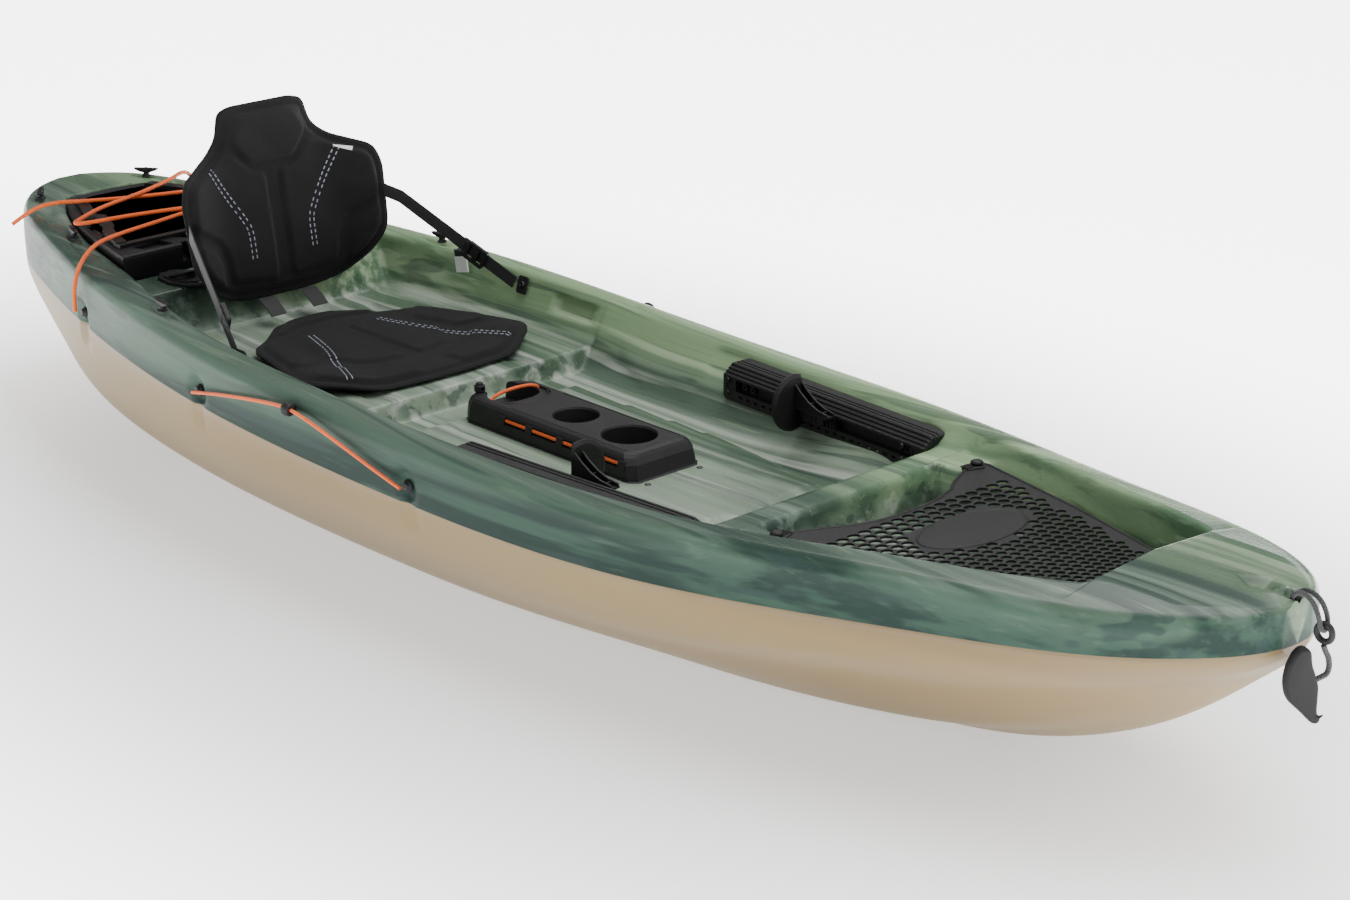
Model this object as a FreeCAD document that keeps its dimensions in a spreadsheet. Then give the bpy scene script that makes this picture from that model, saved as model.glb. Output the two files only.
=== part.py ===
"""Sit-on-top fishing kayak, in millimetres.

Frame: +X to the bow, +Y to port, +Z up.  The origin is on the keel, midway
between bow and stern.  The hull and the deck are two thermoformed shells that
meet at the side seam; everything else is fitted to the deck.
"""
import FreeCAD, Part
import Sketcher
import math
import os
from FreeCAD import Placement, Rotation, Vector

SIZES = {
    # shells
    "hull_length": 2920,
    "hull_beam": 762,
    "gunwale_height": 313,
    "wall": 4,
    "shoulder_roll": 28,
    "tunnel_depth": 24,
    "keel_rub": 2.5,
    "clearance": 0.3,
    # levels of the deck
    "tank_floor": 200,
    "aft_deck": 320,
    "seat_floor": 241,
    "foot_floor": 206,
    "sill_height": 286,
    "bow_floor": 220,
    "ledge_height": 290,
    "shelf_height": 308.5,
    # fittings of the tank well and the aft deck
    "tub_top": "=gunwale_height + 59",
    "tub_wall": 6,
    "shock_cord": 8,
    "rod_bore": 42,
    "rod_tube_wall": 3,
    "rod_tube_long": 200,
    "rod_tube_lean": 20,
    "rod_x": "=-850 * hull_length / 2920",
    "rod_y": 150,
    "drain_bore": 32,
    "drain_wall": 3,
    # console
    "console_aft": -180,
    "console_fore": 262,
    "console_foot_half": 76,
    "console_top_half": 67,
    "console_tall": 50,
    "cup_x": 166,
    "cup_bore": 89,
    "cup_depth": 42,
    # foot braces
    "rail_long": 480,
    "rail_aft": "=590 * hull_length / 2920 - rail_long",
    "rail_aft_y": 288,
    "rail_fore_y": 258,
    "rail_z": 271,
    "rail_tall": 60,
    "rail_thick": 26,
    "track_tall": 20,
    "track_deep": 12,
    "pedal_x": "=rail_aft + 195",
    "pedal_y": 228,
    "pedal_z": 292,
    "pedal_radius": 48,
    "pedal_plate": 8,
    # seat
    "seat_foam": 22,
    "back_foam": 34,
    "back_tilt": 8,
    "back_x": "=-745 * hull_length / 2920",
    "back_z": 290,
    "webbing_wide": 25,
    "webbing_thick": 2,
    # mesh cover
    "cover_aft": "=700 * hull_length / 2920",
    "cover_fore": "=1185 * hull_length / 2920",
    "cover_aft_half": 230,
    "cover_fore_half": 95,
    "cover_thick": 5,
    "mesh_pitch": 42,
    "mesh_bar": 11,
    # bow handle
    "handle_x": "=hull_length / 2 + 40",
    "handle_z": "=gunwale_height + 20",
    "handle_ring": 12,
    "handle_ring_bar": 9,
    "handle_cord": 8,
    "grip_thick": 16,
    "grip_turn": 65,
    "side_cord": 6,
    "knob": 24,
}

doc = FreeCAD.newDocument("kayak")
sheet = doc.addObject("Spreadsheet::Sheet", "sizes")
for row, (alias, value) in enumerate(SIZES.items(), start=1):
    sheet.set("A%d" % row, alias)
    sheet.set("B%d" % row, str(value))
    sheet.setAlias("B%d" % row, alias)
doc.recompute()


def size(alias):
    """The value of one cell of the sheet."""
    return float(sheet.get(alias))


# ---------------------------------------------------------------- hull lines

class Fair:
    """A fair line: the natural cubic through a few stations."""

    def __init__(self, stations, values):
        self.at, self.value = list(stations), list(values)
        n = len(self.at)
        upper, right = [0.0] * n, [0.0] * n
        for i in range(1, n - 1):
            before = self.at[i] - self.at[i - 1]
            after = self.at[i + 1] - self.at[i]
            bend = 3 * ((self.value[i + 1] - self.value[i]) / after
                        - (self.value[i] - self.value[i - 1]) / before)
            pivot = 2 * (before + after) - before * upper[i - 1]
            upper[i] = after / pivot
            right[i] = (bend - before * right[i - 1]) / pivot
        self.curve = [0.0] * n
        for i in range(n - 2, 0, -1):
            self.curve[i] = right[i] - upper[i] * self.curve[i + 1]

    def __call__(self, where):
        last = len(self.at) - 2
        i = max(0, min(last, sum(where >= s for s in self.at) - 1))
        gap = self.at[i + 1] - self.at[i]
        d = where - self.at[i]
        slope = ((self.value[i + 1] - self.value[i]) / gap
                 - gap * (2 * self.curve[i] + self.curve[i + 1]) / 3)
        cubic = (self.curve[i + 1] - self.curve[i]) / (3 * gap)
        return self.value[i] + d * (slope + d * (self.curve[i] + d * cubic))


# Table of offsets, stern to bow.  A station is a share of the half length,
# breadths are shares of the half beam, and heights are above the gunwale
# amidships (sheer), below the sheer (seam) or above the keel (chine, keel).
OFFSETS = [
    # station, gunwale, sheer, seam, chine, chine height, keel height, crown
    (-1.00, 0.000, 55, 106, 0.000, 238, 225, 0),
    (-0.96, 0.358, 50, 106, 0.215, 165, 142, 0),
    (-0.85, 0.554, 42, 106, 0.420, 112, 64, 0),
    (-0.65, 0.780, 31, 105, 0.675, 82, 18, 0),
    (-0.35, 0.971, 15, 105, 0.765, 52, 0, 0),
    (0.00, 1.000, 0, 104, 0.755, 46, 0, 0),
    (0.35, 0.942, 2, 96, 0.680, 66, 0, 4),
    (0.65, 0.709, 22, 84, 0.470, 134, 18, 14),
    (0.85, 0.543, 36, 66, 0.350, 212, 118, 19),
    (0.96, 0.307, 46, 58, 0.180, 262, 238, 14),
    (1.00, 0.000, 48, 54, 0.000, 303, 300, 4),
]
HALF_LENGTH = size("hull_length") / 2
DRAWN_LENGTH = 2920                         # the length that the stations below are drawn for
HALF_BEAM = size("hull_beam") / 2
GUNWALE = size("gunwale_height")
WALL = size("wall")
TIP = 87                                    # last frame, degrees of the fair angle


def station(x):
    """A place along the boat, moved with its length."""
    return x * size("hull_length") / DRAWN_LENGTH


def angle(share):
    """Stations crowd towards the ends, so that the plan shape rounds off."""
    return math.degrees(math.asin(max(-1.0, min(1.0, share))))


columns = list(zip(*OFFSETS))
angles = [angle(share) for share in columns[0]]
gunwale_line, sheer_line, seam_line, chine_line, chine_rise, keel_rise, crown_line = [
    Fair(angles, column) for column in columns[1:]]


def fair_angle(x):
    return angle(x / HALF_LENGTH)


def gunwale(x):
    """Half breadth at the gunwale."""
    return HALF_BEAM * gunwale_line(fair_angle(x))


def sheer(x):
    """Height of the rim."""
    return GUNWALE + sheer_line(fair_angle(x))


FAIR_ANGLES = [-TIP, -82, -76, -70, -63, -56, -49, -42, -35, -28, -21, -14, -7, 0,
               7, 14, 21, 28, 35, 42, 49, 56, 63, 70, 76, 82, TIP]


def section_x(turn, inset):
    """Where the frame at one fair angle stands along the boat."""
    return (HALF_LENGTH - inset) * math.sin(math.radians(turn)) / math.sin(math.radians(TIP))


def hull_frame(turn, inset=0, lid=0):
    """Half a frame of the hull, from the seam by the chine to the keel."""
    x = section_x(turn, inset)
    half = HALF_BEAM * gunwale_line(turn)
    shrink = inset * min(1.0, half / 60)
    seam_z = GUNWALE + sheer_line(turn) - seam_line(turn)
    seam_y = half * 0.99 - shrink
    chine_y = HALF_BEAM * chine_line(turn) - 0.7 * shrink
    chine_z = chine_rise(turn) + 0.7 * inset
    keel_z = keel_rise(turn) + (inset or -size("keel_rub"))
    fullness = 1.0 + 3.0 * max(0.0, math.cos(math.radians(1.15 * turn))) ** 2
    tunnel = size("tunnel_depth") * max(0.0, math.cos(math.radians(1.5 * turn)))

    def flank(t):
        return Vector(x, chine_y + (seam_y - chine_y) * math.sin(math.pi / 2 * t),
                      chine_z + (seam_z + lid - chine_z) * t)

    def bottom(t, groove=0.0):
        return Vector(x, chine_y * t, keel_z + (chine_z - keel_z) * t ** fullness + tunnel * groove)

    if inset:
        return [flank(1), flank(0.45), flank(0), bottom(0.68), bottom(0.4, 0.9), bottom(0)]
    return [flank(1), flank(0.45), flank(0), bottom(0.68), bottom(0.4, 0.9), bottom(0.12), bottom(0)]


def deck_frame(turn, inset=0, sink=0):
    """Half a frame of the deck, from the seam over the shoulder to the middle."""
    x = section_x(turn, inset)
    half = HALF_BEAM * gunwale_line(turn)
    shrink = inset * min(1.0, half / 60)
    top = GUNWALE + sheer_line(turn) - inset
    drop = seam_line(turn) - inset
    roll = size("shoulder_roll") * half / (half + 40) * 1.1
    edge = half - shrink - roll
    crown = crown_line(turn)
    if inset:
        return [Vector(x, half * 0.99 - shrink, top - drop - sink),
                Vector(x, half - shrink, top - 0.55 * drop),
                Vector(x, half - shrink - 0.32 * roll, top - 0.4 * roll),
                Vector(x, edge, top),
                Vector(x, 0, top + crown)]
    return [Vector(x, half * 0.99 - shrink, top - drop - sink),
            Vector(x, half - shrink, top - 0.55 * drop),
            Vector(x, half - 0.08 * roll, top - 0.8 * roll),
            Vector(x, half - 0.32 * roll, top - 0.3 * roll),
            Vector(x, half - 0.62 * roll, top - 0.07 * roll),
            Vector(x, edge, top),
            Vector(x, 0.5 * edge, top + 0.75 * crown),
            Vector(x, 0, top + crown)]


def skinned(rings):
    """A solid lofted through like rings, in flats along the shorter diagonals."""
    faces = [Part.Face(Part.makePolygon(ring + [ring[0]])) for ring in (rings[0], rings[-1])]
    for ring, ahead in zip(rings, rings[1:]):
        for i in range(len(ring)):
            j = (i + 1) % len(ring)
            a, b, c, d = ring[i], ring[j], ahead[j], ahead[i]
            flats = ((a, b, c), (a, c, d)) if (a - c).Length <= (b - d).Length else ((a, b, d), (b, c, d))
            faces += [Part.Face(Part.makePolygon([p, q, r, p])) for p, q, r in flats
                      if (q - p).cross(r - p).Length > 1e-6]
    shell = Part.makeShell(faces)
    shell.sewShape()
    solid = Part.makeSolid(shell)
    if solid.Volume < 0:
        solid.reverse()
    return solid


def planked(frames):
    """A solid of planks laid from frame to frame, alike on both sides."""
    return skinned([frame + [Vector(p.x, -p.y, p.z) for p in reversed(frame[:-1])] for frame in frames])


def box(corner, opposite):
    """A block between two opposite corners."""
    low = [min(a, b) for a, b in zip(corner, opposite)]
    high = [max(a, b) for a, b in zip(corner, opposite)]
    return Part.makeBox(high[0] - low[0], high[1] - low[1], high[2] - low[2], Vector(*low))


# ------------------------------------------------------------ deck cavities

# Half widths of the wells at three levels, stern to bow: on the tank floor, at
# the seat floor and above the rim.
WELL_WIDTHS = [
    # x, tank floor, seat floor, over the rim
    (-1372, 40, 46, 60),
    (-1290, 96, 102, 112),
    (-1180, 146, 152, 162),
    (-1060, 184, 190, 199),
    (-925, 214, 220, 229),
    (-760, 246, 254, 272),
    (-500, 262, 286, 318),
    (-250, 256, 288, 327),
    (0, 236, 276, 332),
    (300, 196, 262, 324),
    (520, 168, 244, 306),
    (700, 184, 232, 276),
    (950, 160, 184, 210),
    (1130, 126, 142, 164),
    (1240, 92, 104, 122),
]
LEVELS = (200, 240, GUNWALE + 32)
OVER = 460


def well_outline(column, z, grow):
    """The plan of the wells at one level, widened by a wall."""
    stations = [station(row[0]) for row in WELL_WIDTHS]
    stations[0] -= grow
    stations[-1] += grow
    side = [Vector(x, row[column] + grow, z) for x, row in zip(stations, WELL_WIDTHS)]
    outline = side + [Vector(p.x, -p.y, p.z) for p in reversed(side)]
    return Part.makePolygon(outline + [outline[0]])


def well_profile(grow):
    """The floors of the wells from the side, closed far above the deck and widened by a wall."""
    tank, seat, foot = size("tank_floor"), size("seat_floor"), size("foot_floor")
    corners = [(-1365, OVER), (-1338, tank), (-928, tank), (-912, size("aft_deck")), (-815, size("aft_deck")),
               (-775, seat), (-250, seat), (-238, foot), (505, foot), (592, size("sill_height")),
               (648, size("sill_height")), (662, size("bow_floor")), (1120, size("bow_floor") + 6),
               (1146, size("shelf_height")), (1204, size("shelf_height")), (1222, OVER - 90), (1232, OVER)]
    points = [Vector(station(x), 0, z) for x, z in corners]
    outline = []
    for before, here, after in zip(points[-1:] + points[:-1], points, points[1:] + points[:1]):
        come, leave = (here - before).normalize(), (after - here).normalize()
        aside, next_aside = Vector(come.z, 0, -come.x), Vector(leave.z, 0, -leave.x)
        outline.append(here + (aside + next_aside) * (grow / (1 + aside.dot(next_aside))))
    return Part.makePolygon(outline + [outline[0]])


def wells(grow):
    """The space of the wells, or the block that leaves a wall round them."""
    low = Part.makeLoft([well_outline(1, LEVELS[0] - 2 * grow - 12, grow), well_outline(1, LEVELS[0], grow),
                         well_outline(2, LEVELS[1], grow), well_outline(3, LEVELS[2], grow),
                         well_outline(3, OVER + 20, grow)], True, True)
    prism = Part.Face(well_profile(grow)).extrude(Vector(0, 2 * HALF_BEAM, 0))
    prism.translate(Vector(0, -HALF_BEAM, 0))
    space = low.common(prism)
    for side in (1, -1):
        space = space.cut(box((station(640) + grow, side * (188 + grow), 150),
                              (station(716) - grow, side * 300, size("ledge_height") - grow)))
    return space


def tank_block(grow, low, high, aft, fore):
    """The tank well's space between two levels, narrowed by a gap."""
    outline = Part.makeLoft([well_outline(1, LEVELS[0] - 12, -grow), well_outline(1, LEVELS[0], -grow),
                             well_outline(2, LEVELS[1], -grow), well_outline(3, LEVELS[2], -grow),
                             well_outline(3, OVER, -grow)], True, True)
    return outline.common(box((aft, -HALF_BEAM, low), (fore, HALF_BEAM, high)))


# ------------------------------------------------------------- document kit

NODES = {}


def node(name, thing):
    """A finished sub-part: its label is the name of its node and its file."""
    thing.Label = name
    NODES[name] = thing
    return thing


def at(x, y, z, turn=None):
    return Placement(Vector(x, y, z), turn or Rotation())


def piece(kind, name, place=None, **rules):
    """A Part primitive whose sizes follow rules on the sheet's cells."""
    thing = doc.addObject("Part::" + kind, name)
    for key, rule in rules.items():
        thing.setExpression(key, rule)
    if place is not None:
        thing.Placement = place
    return thing


def feature(name, shape):
    thing = doc.addObject("Part::Feature", name)
    thing.Shape = shape
    return thing


def fused(name, *things):
    whole = doc.addObject("Part::MultiFuse", name)
    whole.Shapes = list(things)
    return whole


def cut(name, base, *tools):
    whole = doc.addObject("Part::Cut", name)
    whole.Base = base
    whole.Tool = tools[0] if len(tools) == 1 else fused(name + "_tools", *tools)
    return whole


def common(name, *things):
    whole = doc.addObject("Part::MultiCommon", name)
    whole.Shapes = list(things)
    return whole


def twin(name, source):
    """The starboard copy of a port piece."""
    copy = doc.addObject("Part::Mirroring", name)
    copy.Source = source
    copy.Normal = (0, 1, 0)
    return copy


def screw_head(name, place, radius="4.5", height="2.5"):
    """A pan head, kept to eight sides."""
    head = piece("Prism", name, place, Circumradius=radius, Height=height)
    head.Polygon = 8
    return head


def body(name):
    return doc.addObject("PartDesign::Body", name)


def sketch(owner, plane, corners, lift="0"):
    """A closed outline whose corners follow rules; each rule is text or a number."""
    drawing = owner.newObject("Sketcher::SketchObject", owner.Name + "_outline")
    drawing.AttachmentSupport = [(next(f for f in owner.Origin.OriginFeatures if f.Role == plane), "")]
    drawing.MapMode = "FlatFace"
    drawing.setExpression("AttachmentOffset.Base.z", str(lift))
    spots = [[float(drawing.evalExpression(str(rule))) for rule in corner] for corner in corners]
    count = len(spots)
    for i in range(count):
        a, b = spots[i], spots[(i + 1) % count]
        drawing.addGeometry(Part.LineSegment(Vector(a[0], a[1], 0), Vector(b[0], b[1], 0)))
    for i in range(count):
        drawing.addConstraint(Sketcher.Constraint("Coincident", i, 2, (i + 1) % count, 1))
    for i in range(count):
        for way, rule, value in (("DistanceX", corners[i][0], spots[i][0]), ("DistanceY", corners[i][1], spots[i][1])):
            index = drawing.addConstraint(Sketcher.Constraint(way, -1, 1, i, 1, value))
            if isinstance(rule, str):
                drawing.setExpression("Constraints[%d]" % index, rule)
    return drawing


def ring(owner, plane, x, y, radius, lift="0"):
    """A circle in a sketch of its own."""
    drawing = owner.newObject("Sketcher::SketchObject", owner.Name + "_circle")
    drawing.AttachmentSupport = [(next(f for f in owner.Origin.OriginFeatures if f.Role == plane), "")]
    drawing.MapMode = "FlatFace"
    drawing.setExpression("AttachmentOffset.Base.z", str(lift))
    spot = [float(drawing.evalExpression(str(rule))) for rule in (x, y, radius)]
    drawing.addGeometry(Part.Circle(Vector(spot[0], spot[1], 0), Vector(0, 0, 1), spot[2]))
    for constraint, rule in ((Sketcher.Constraint("DistanceX", -1, 1, 0, 3, spot[0]), x),
                             (Sketcher.Constraint("DistanceY", -1, 1, 0, 3, spot[1]), y),
                             (Sketcher.Constraint("Radius", 0, spot[2]), radius)):
        index = drawing.addConstraint(constraint)
        drawing.setExpression("Constraints[%d]" % index, str(rule))
    return drawing


def pad(owner, drawing, length, both=False):
    solid = owner.newObject("PartDesign::Pad", owner.Name + "_pad")
    solid.Profile = drawing
    solid.setExpression("Length", str(length))
    solid.SideType = "Symmetric" if both else "One side"
    return solid


def pocket(owner, drawing, length, reverse=False, both=False):
    hole = owner.newObject("PartDesign::Pocket", owner.Name + "_pocket")
    hole.Profile = drawing
    hole.setExpression("Length", str(length))
    hole.SideType = "Symmetric" if both else "One side"
    hole.Reversed = reverse
    return hole


def loft(owner, first, *others):
    solid = owner.newObject("PartDesign::AdditiveLoft", owner.Name + "_loft")
    solid.Profile = first
    solid.Sections = list(others)
    solid.Ruled = True
    return solid


def lean(degrees):
    """A turn about the athwartships axis, top towards the stern."""
    return Rotation(Vector(0, 1, 0), -degrees)


# ------------------------------------------------------------ cords

CORD_RADII = {}
ARC_STEP = 24                               # degrees between the flats of an arc


def octagon(radius, spot, heading, side):
    """The section of a cord, which stays plain here."""
    other = heading.cross(side)
    return [spot + (side * math.cos(math.radians(a)) + other * math.sin(math.radians(a))) * radius
            for a in range(22, 382, 45)]


def cord(name, points, radius):
    """A tube along straight runs joined by tangent arcs, each arc in short flats."""
    spots = [Vector(*p) for p in points]
    line, radii = [spots[0]], []
    for before, corner, after in zip(spots, spots[1:], spots[2:]):
        back, ahead = before - corner, after - corner
        half_turn = (math.pi - back.getAngle(ahead)) / 2
        reach = 0.45 * min(back.Length, ahead.Length)
        bend = reach / math.tan(half_turn)
        radii.append(bend)
        middle = (back.normalize() + ahead.normalize()).normalize()
        centre = corner + middle * (bend / math.cos(half_turn))
        first = (corner + back * reach - centre).normalize()
        steps = max(1, math.ceil(2 * half_turn / math.radians(ARC_STEP)))
        for k in range(steps + 1):
            turn = 2 * half_turn * k / steps
            line.append(centre + (first * math.cos(turn) - back * math.sin(turn)) * bend)
    line.append(spots[-1])
    side = Vector(0.31, 0.17, 0.94).cross(line[1] - line[0]).normalize()
    rings = []
    for k, spot in enumerate(line):
        heading = (line[min(k + 1, len(line) - 1)] - line[max(k - 1, 0)]).normalize()
        side = (side - heading * side.dot(heading)).normalize()
        rings.append(octagon(radius, spot, heading, side))
    tube = skinned(rings)
    run = sum((b - a).Length for a, b in zip(line, line[1:]))
    CORD_RADII[name] = (min(radii) if radii else 0.0, tube.Volume / (run * 2 * math.sqrt(2) * radius ** 2))
    return feature(name + "_run", tube)


def webbing(name, start, end, wide, thick, across=Vector(0, 0, 1)):
    """A flat strap pulled straight between two places."""
    run = end - start
    side = across.cross(run).normalize() * (thick / 2)
    edge = side.cross(run).normalize() * (wide / 2)
    corners = [start + side + edge, start + side - edge, start - side - edge, start - side + edge]
    return Part.Face(Part.makePolygon(corners + [corners[0]])).extrude(run)


# ------------------------------------------------------------ places on the deck

def rim_edge(x):
    """Half breadth of the flat top of the rim, inside the rolled shoulder."""
    half = gunwale(x)
    return half - size("shoulder_roll") * half / (half + 40) * 1.1


def breadth(solid, x, z):
    """Half breadth of a solid at one place on its side."""
    return solid.common(Part.makeLine(Vector(x, 0, z), Vector(x, 2 * HALF_BEAM, z))).BoundBox.YMax


def outline_turn(x):
    """How far the plan outline has turned from straight fore and aft."""
    return math.degrees(math.atan((gunwale(x + 5) - gunwale(x - 5)) / 10))


def along(start, end, share):
    return start + (end - start) * share


CLEAR = size("clearance")

# ------------------------------------------------------------ shells

hull_outside = planked([hull_frame(a) for a in FAIR_ANGLES])
hull_inside = planked([hull_frame(a, WALL, 12) for a in FAIR_ANGLES])
deck_outside = planked([deck_frame(a) for a in FAIR_ANGLES])
deck_inside = planked([deck_frame(a, WALL, 12) for a in FAIR_ANGLES])
deck_tall = planked([deck_frame(a, 0, 120) for a in FAIR_ANGLES])
well_space = wells(0)

under_keel = box((-1.1 * HALF_LENGTH, -HALF_BEAM, -50), (1.1 * HALF_LENGTH, HALF_BEAM, 0))
DRAINS = [(station(x), y) for x, y in ((-620, 130), (-620, -130), (-1130, 80), (-1130, -80))]
DRAIN_RADIUS = size("drain_bore") / 2 + size("drain_wall")


def drain_holes(gap):
    return [Part.makeCylinder(DRAIN_RADIUS + gap, OVER, Vector(x, y, -50)) for x, y in DRAINS]


rod_turn = lean(size("rod_tube_lean"))
rod_places = {side: at(size("rod_x"), sign * size("rod_y"), size("aft_deck"), rod_turn)
              for side, sign in (("port", 1), ("starboard", -1))}
ROD_RADIUS = size("rod_bore") / 2 + size("rod_tube_wall")


def rod_hole(place):
    hole = Part.makeCylinder(ROD_RADIUS + CLEAR, 90, Vector(0, 0, -60))
    hole.Placement = place
    return hole


cord_hole = Part.makeCylinder(size("side_cord") / 2 + 6.5, 60, Vector(size("handle_x") - 54, 0, GUNWALE + 17))

hull_solid = hull_outside.cut(hull_inside).cut(under_keel)
deck_skin = deck_outside.cut(deck_inside)
deck_solid = deck_skin.fuse(wells(WALL).common(deck_tall)).cut(well_space)
deck_solid = deck_solid.cut(Part.makeCompound(drain_holes(CLEAR) + [rod_hole(p) for p in rod_places.values()]
                                              + [cord_hole]))
hull_solid = hull_solid.cut(Part.makeCompound(drain_holes(CLEAR)))
node("hull_shell", feature("hull", hull_solid))
node("deck_shell", feature("deck", deck_solid))
space = feature("well_space", wells(-CLEAR))

# ------------------------------------------------------------ buoyancy and drains

foam_space = planked([hull_frame(a, WALL + 2.5 * CLEAR) for a in FAIR_ANGLES])
stern_block = foam_space.common(box((station(-1330), -130, 0),
                                     (station(-1000), 130, size("tank_floor") - WALL - CLEAR)))
stern_block = stern_block.cut(Part.makeCompound(drain_holes(CLEAR)))
node("stern_foam", feature("stern_block", stern_block))
node("bow_foam", feature("bow_block", foam_space.common(
    box((station(1250), -60, 0), (station(1400), 60, GUNWALE - 63)))))

drains = []
for number, (x, y) in enumerate(DRAINS):
    tube = piece("Cylinder", "drain_%d" % number, at(x, y, -20), Height="sizes.seat_floor + 20",
                 Radius="sizes.drain_bore / 2 + sizes.drain_wall")
    bore = piece("Cylinder", "drain_bore_%d" % number, at(x, y, -30), Height="sizes.seat_floor + 60",
                 Radius="sizes.drain_bore / 2")
    drains.append(cut("drain_tube_%d" % number, tube, bore))
drain_room = hull_outside.fuse(box((station(-1300), -300, 150), (station(-300), 300, size("seat_floor"))))
drain_room = drain_room.cut(tank_block(0, size("tank_floor"), OVER, station(-1400), station(-912))).cut(under_keel)
node("scupper_tubes", common("drains_trimmed", fused("drain_tubes", *drains), feature("drain_room", drain_room)))

# ------------------------------------------------------------ tank well

TUB_AFT, TUB_FORE, TUB_SHELF = station(-1335), station(-922), 60
TUB_GAP = 0.6
tub_floor = size("tank_floor") + CLEAR
tub_block = tank_block(TUB_GAP, tub_floor, size("tub_top"), TUB_AFT, TUB_FORE)
shelf_slope = Part.Face(Part.makePolygon([Vector(TUB_FORE + 20, -HALF_BEAM, 190), Vector(TUB_FORE - 8.6, -HALF_BEAM, 190),
                                          Vector(TUB_FORE - 8.6, -HALF_BEAM, 250), Vector(TUB_FORE + 1, -HALF_BEAM, 292),
                                          Vector(TUB_FORE + 20, -HALF_BEAM, 292),
                                          Vector(TUB_FORE + 20, -HALF_BEAM, 190)])).extrude(Vector(0, 2 * HALF_BEAM, 0))
tub_wall = size("tub_wall")
tub_inside = tank_block(TUB_GAP + tub_wall, tub_floor + tub_wall, OVER, TUB_AFT + tub_wall + 2,
                        TUB_FORE - TUB_SHELF)
tub_solid = tub_block.cut(shelf_slope).cut(tub_inside)
node("storage_tub", feature("tub", tub_solid))

bungee_rise = size("shock_cord") / 2 + CLEAR
tub_rim = size("tub_top") + bungee_rise


def stern_route(side, low):
    """One shock cord over the tub; the other crosses it a cord higher."""
    step = 0 if low else size("shock_cord") + CLEAR
    over = tub_rim - GUNWALE + CLEAR
    route = [(-1322, -212, 25), (-1306, -184, 49), (-1282, -150, over + step), (-1240, -88, over + step),
             (-1196, 10, over + step), (-1162, 120, over + step), (-1140, 174, over + 3), (-1122, 206, 65),
             (-1104, 176, over + 3), (-1080, 110, over + step), (-1058, 20, over + step),
             (-1032, -90, over + step), (-1006, -200, over + step + 1), (-988, -252, 60), (-975, -292, 31),
             (-970, -307, -13), (-968, -307, -45)]
    return [(station(x), side * y, GUNWALE + z) for x, y, z in route]


for letter, side in (("a", 1), ("b", -1)):
    node("stern_bungee_" + letter, cord("stern_bungee_" + letter, stern_route(side, letter == "a"),
                                        size("shock_cord") / 2))

# ------------------------------------------------------------ rod holders

screws = []
for side, place in rod_places.items():
    plate = body("rod_plate_" + side)
    pad(plate, sketch(plate, "XY_Plane", [(-55, -16), (-34, -34), (4, -38), (38, -24), (56, 0), (38, 24),
                                          (4, 38), (-34, 34), (-55, 16)]), 5)
    plate.Placement = at(size("rod_x"), place.Base.y, size("aft_deck") + CLEAR)
    tube = piece("Cylinder", "rod_tube_" + side, place.multiply(at(0, 0, 12).multiply(at(0, 0, -size("rod_tube_long")))),
                 Radius="sizes.rod_bore / 2 + sizes.rod_tube_wall", Height="sizes.rod_tube_long")
    bore = piece("Cylinder", "rod_bore_" + side,
                 place.multiply(at(0, 0, 12 - size("rod_tube_long") + size("rod_tube_wall"))),
                 Radius="sizes.rod_bore / 2", Height="sizes.rod_tube_long")
    node("rod_holder_" + side, cut("rod_holder_cut_" + side, fused("rod_holder_body_" + side, plate, tube), bore))
    for dx, dy in ((-42, 0), (44, 0)):
        screws.append(screw_head("rod_screw", at(size("rod_x") + dx, place.Base.y + dy,
                                                 size("aft_deck") + 5 + 2 * CLEAR)))
node("rod_holder_screws", fused("rod_screw_set", *screws))

# ------------------------------------------------------------ cleats and plugs


def cleat(name, x, y, z, turn):
    """A low post with a pair of horns."""
    post = screw_head(name + "_post", at(x, y, z), "8", "14")
    horns = body(name + "_horns")
    pad(horns, sketch(horns, "XZ_Plane", [(-24, 12), (-20, 17), (20, 17), (24, 12), (10, 9), (-10, 9)]), 12, True)
    horns.Placement = at(x, y, z, Rotation(Vector(0, 0, 1), turn))
    return fused(name, post, horns)


cleats = []
for name, x, inboard, turn in (("rim_cleat", station(-685), 14, 8), ("stern_cleat", station(-1368), 16, 40),
                               ("cord_hook", station(-1128), 20, 20)):
    cleats.append(cleat(name, x, rim_edge(x) - inboard, sheer(x) + 2 * CLEAR, turn))
node("cleats_port", fused("cleat_set", *cleats))
node("cleats_starboard", twin("cleat_set_twin", NODES["cleats_port"]))

plugs = []
for x, z in ((station(-968), GUNWALE - 51), (station(-500), GUNWALE - 63), (station(70), GUNWALE - 75)):
    for sign in (1, -1):
        turn = Rotation(Vector(0, 0, 1), sign * outline_turn(x)).multiply(Rotation(Vector(1, 0, 0), -sign * 90))
        plugs.append(screw_head("side_plug", at(x, sign * (breadth(deck_outside, x, z) + 4 * CLEAR), z, turn), "10", "6"))
node("side_plugs", fused("side_plug_set", *plugs))

# ------------------------------------------------------------ paddle keepers

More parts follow.
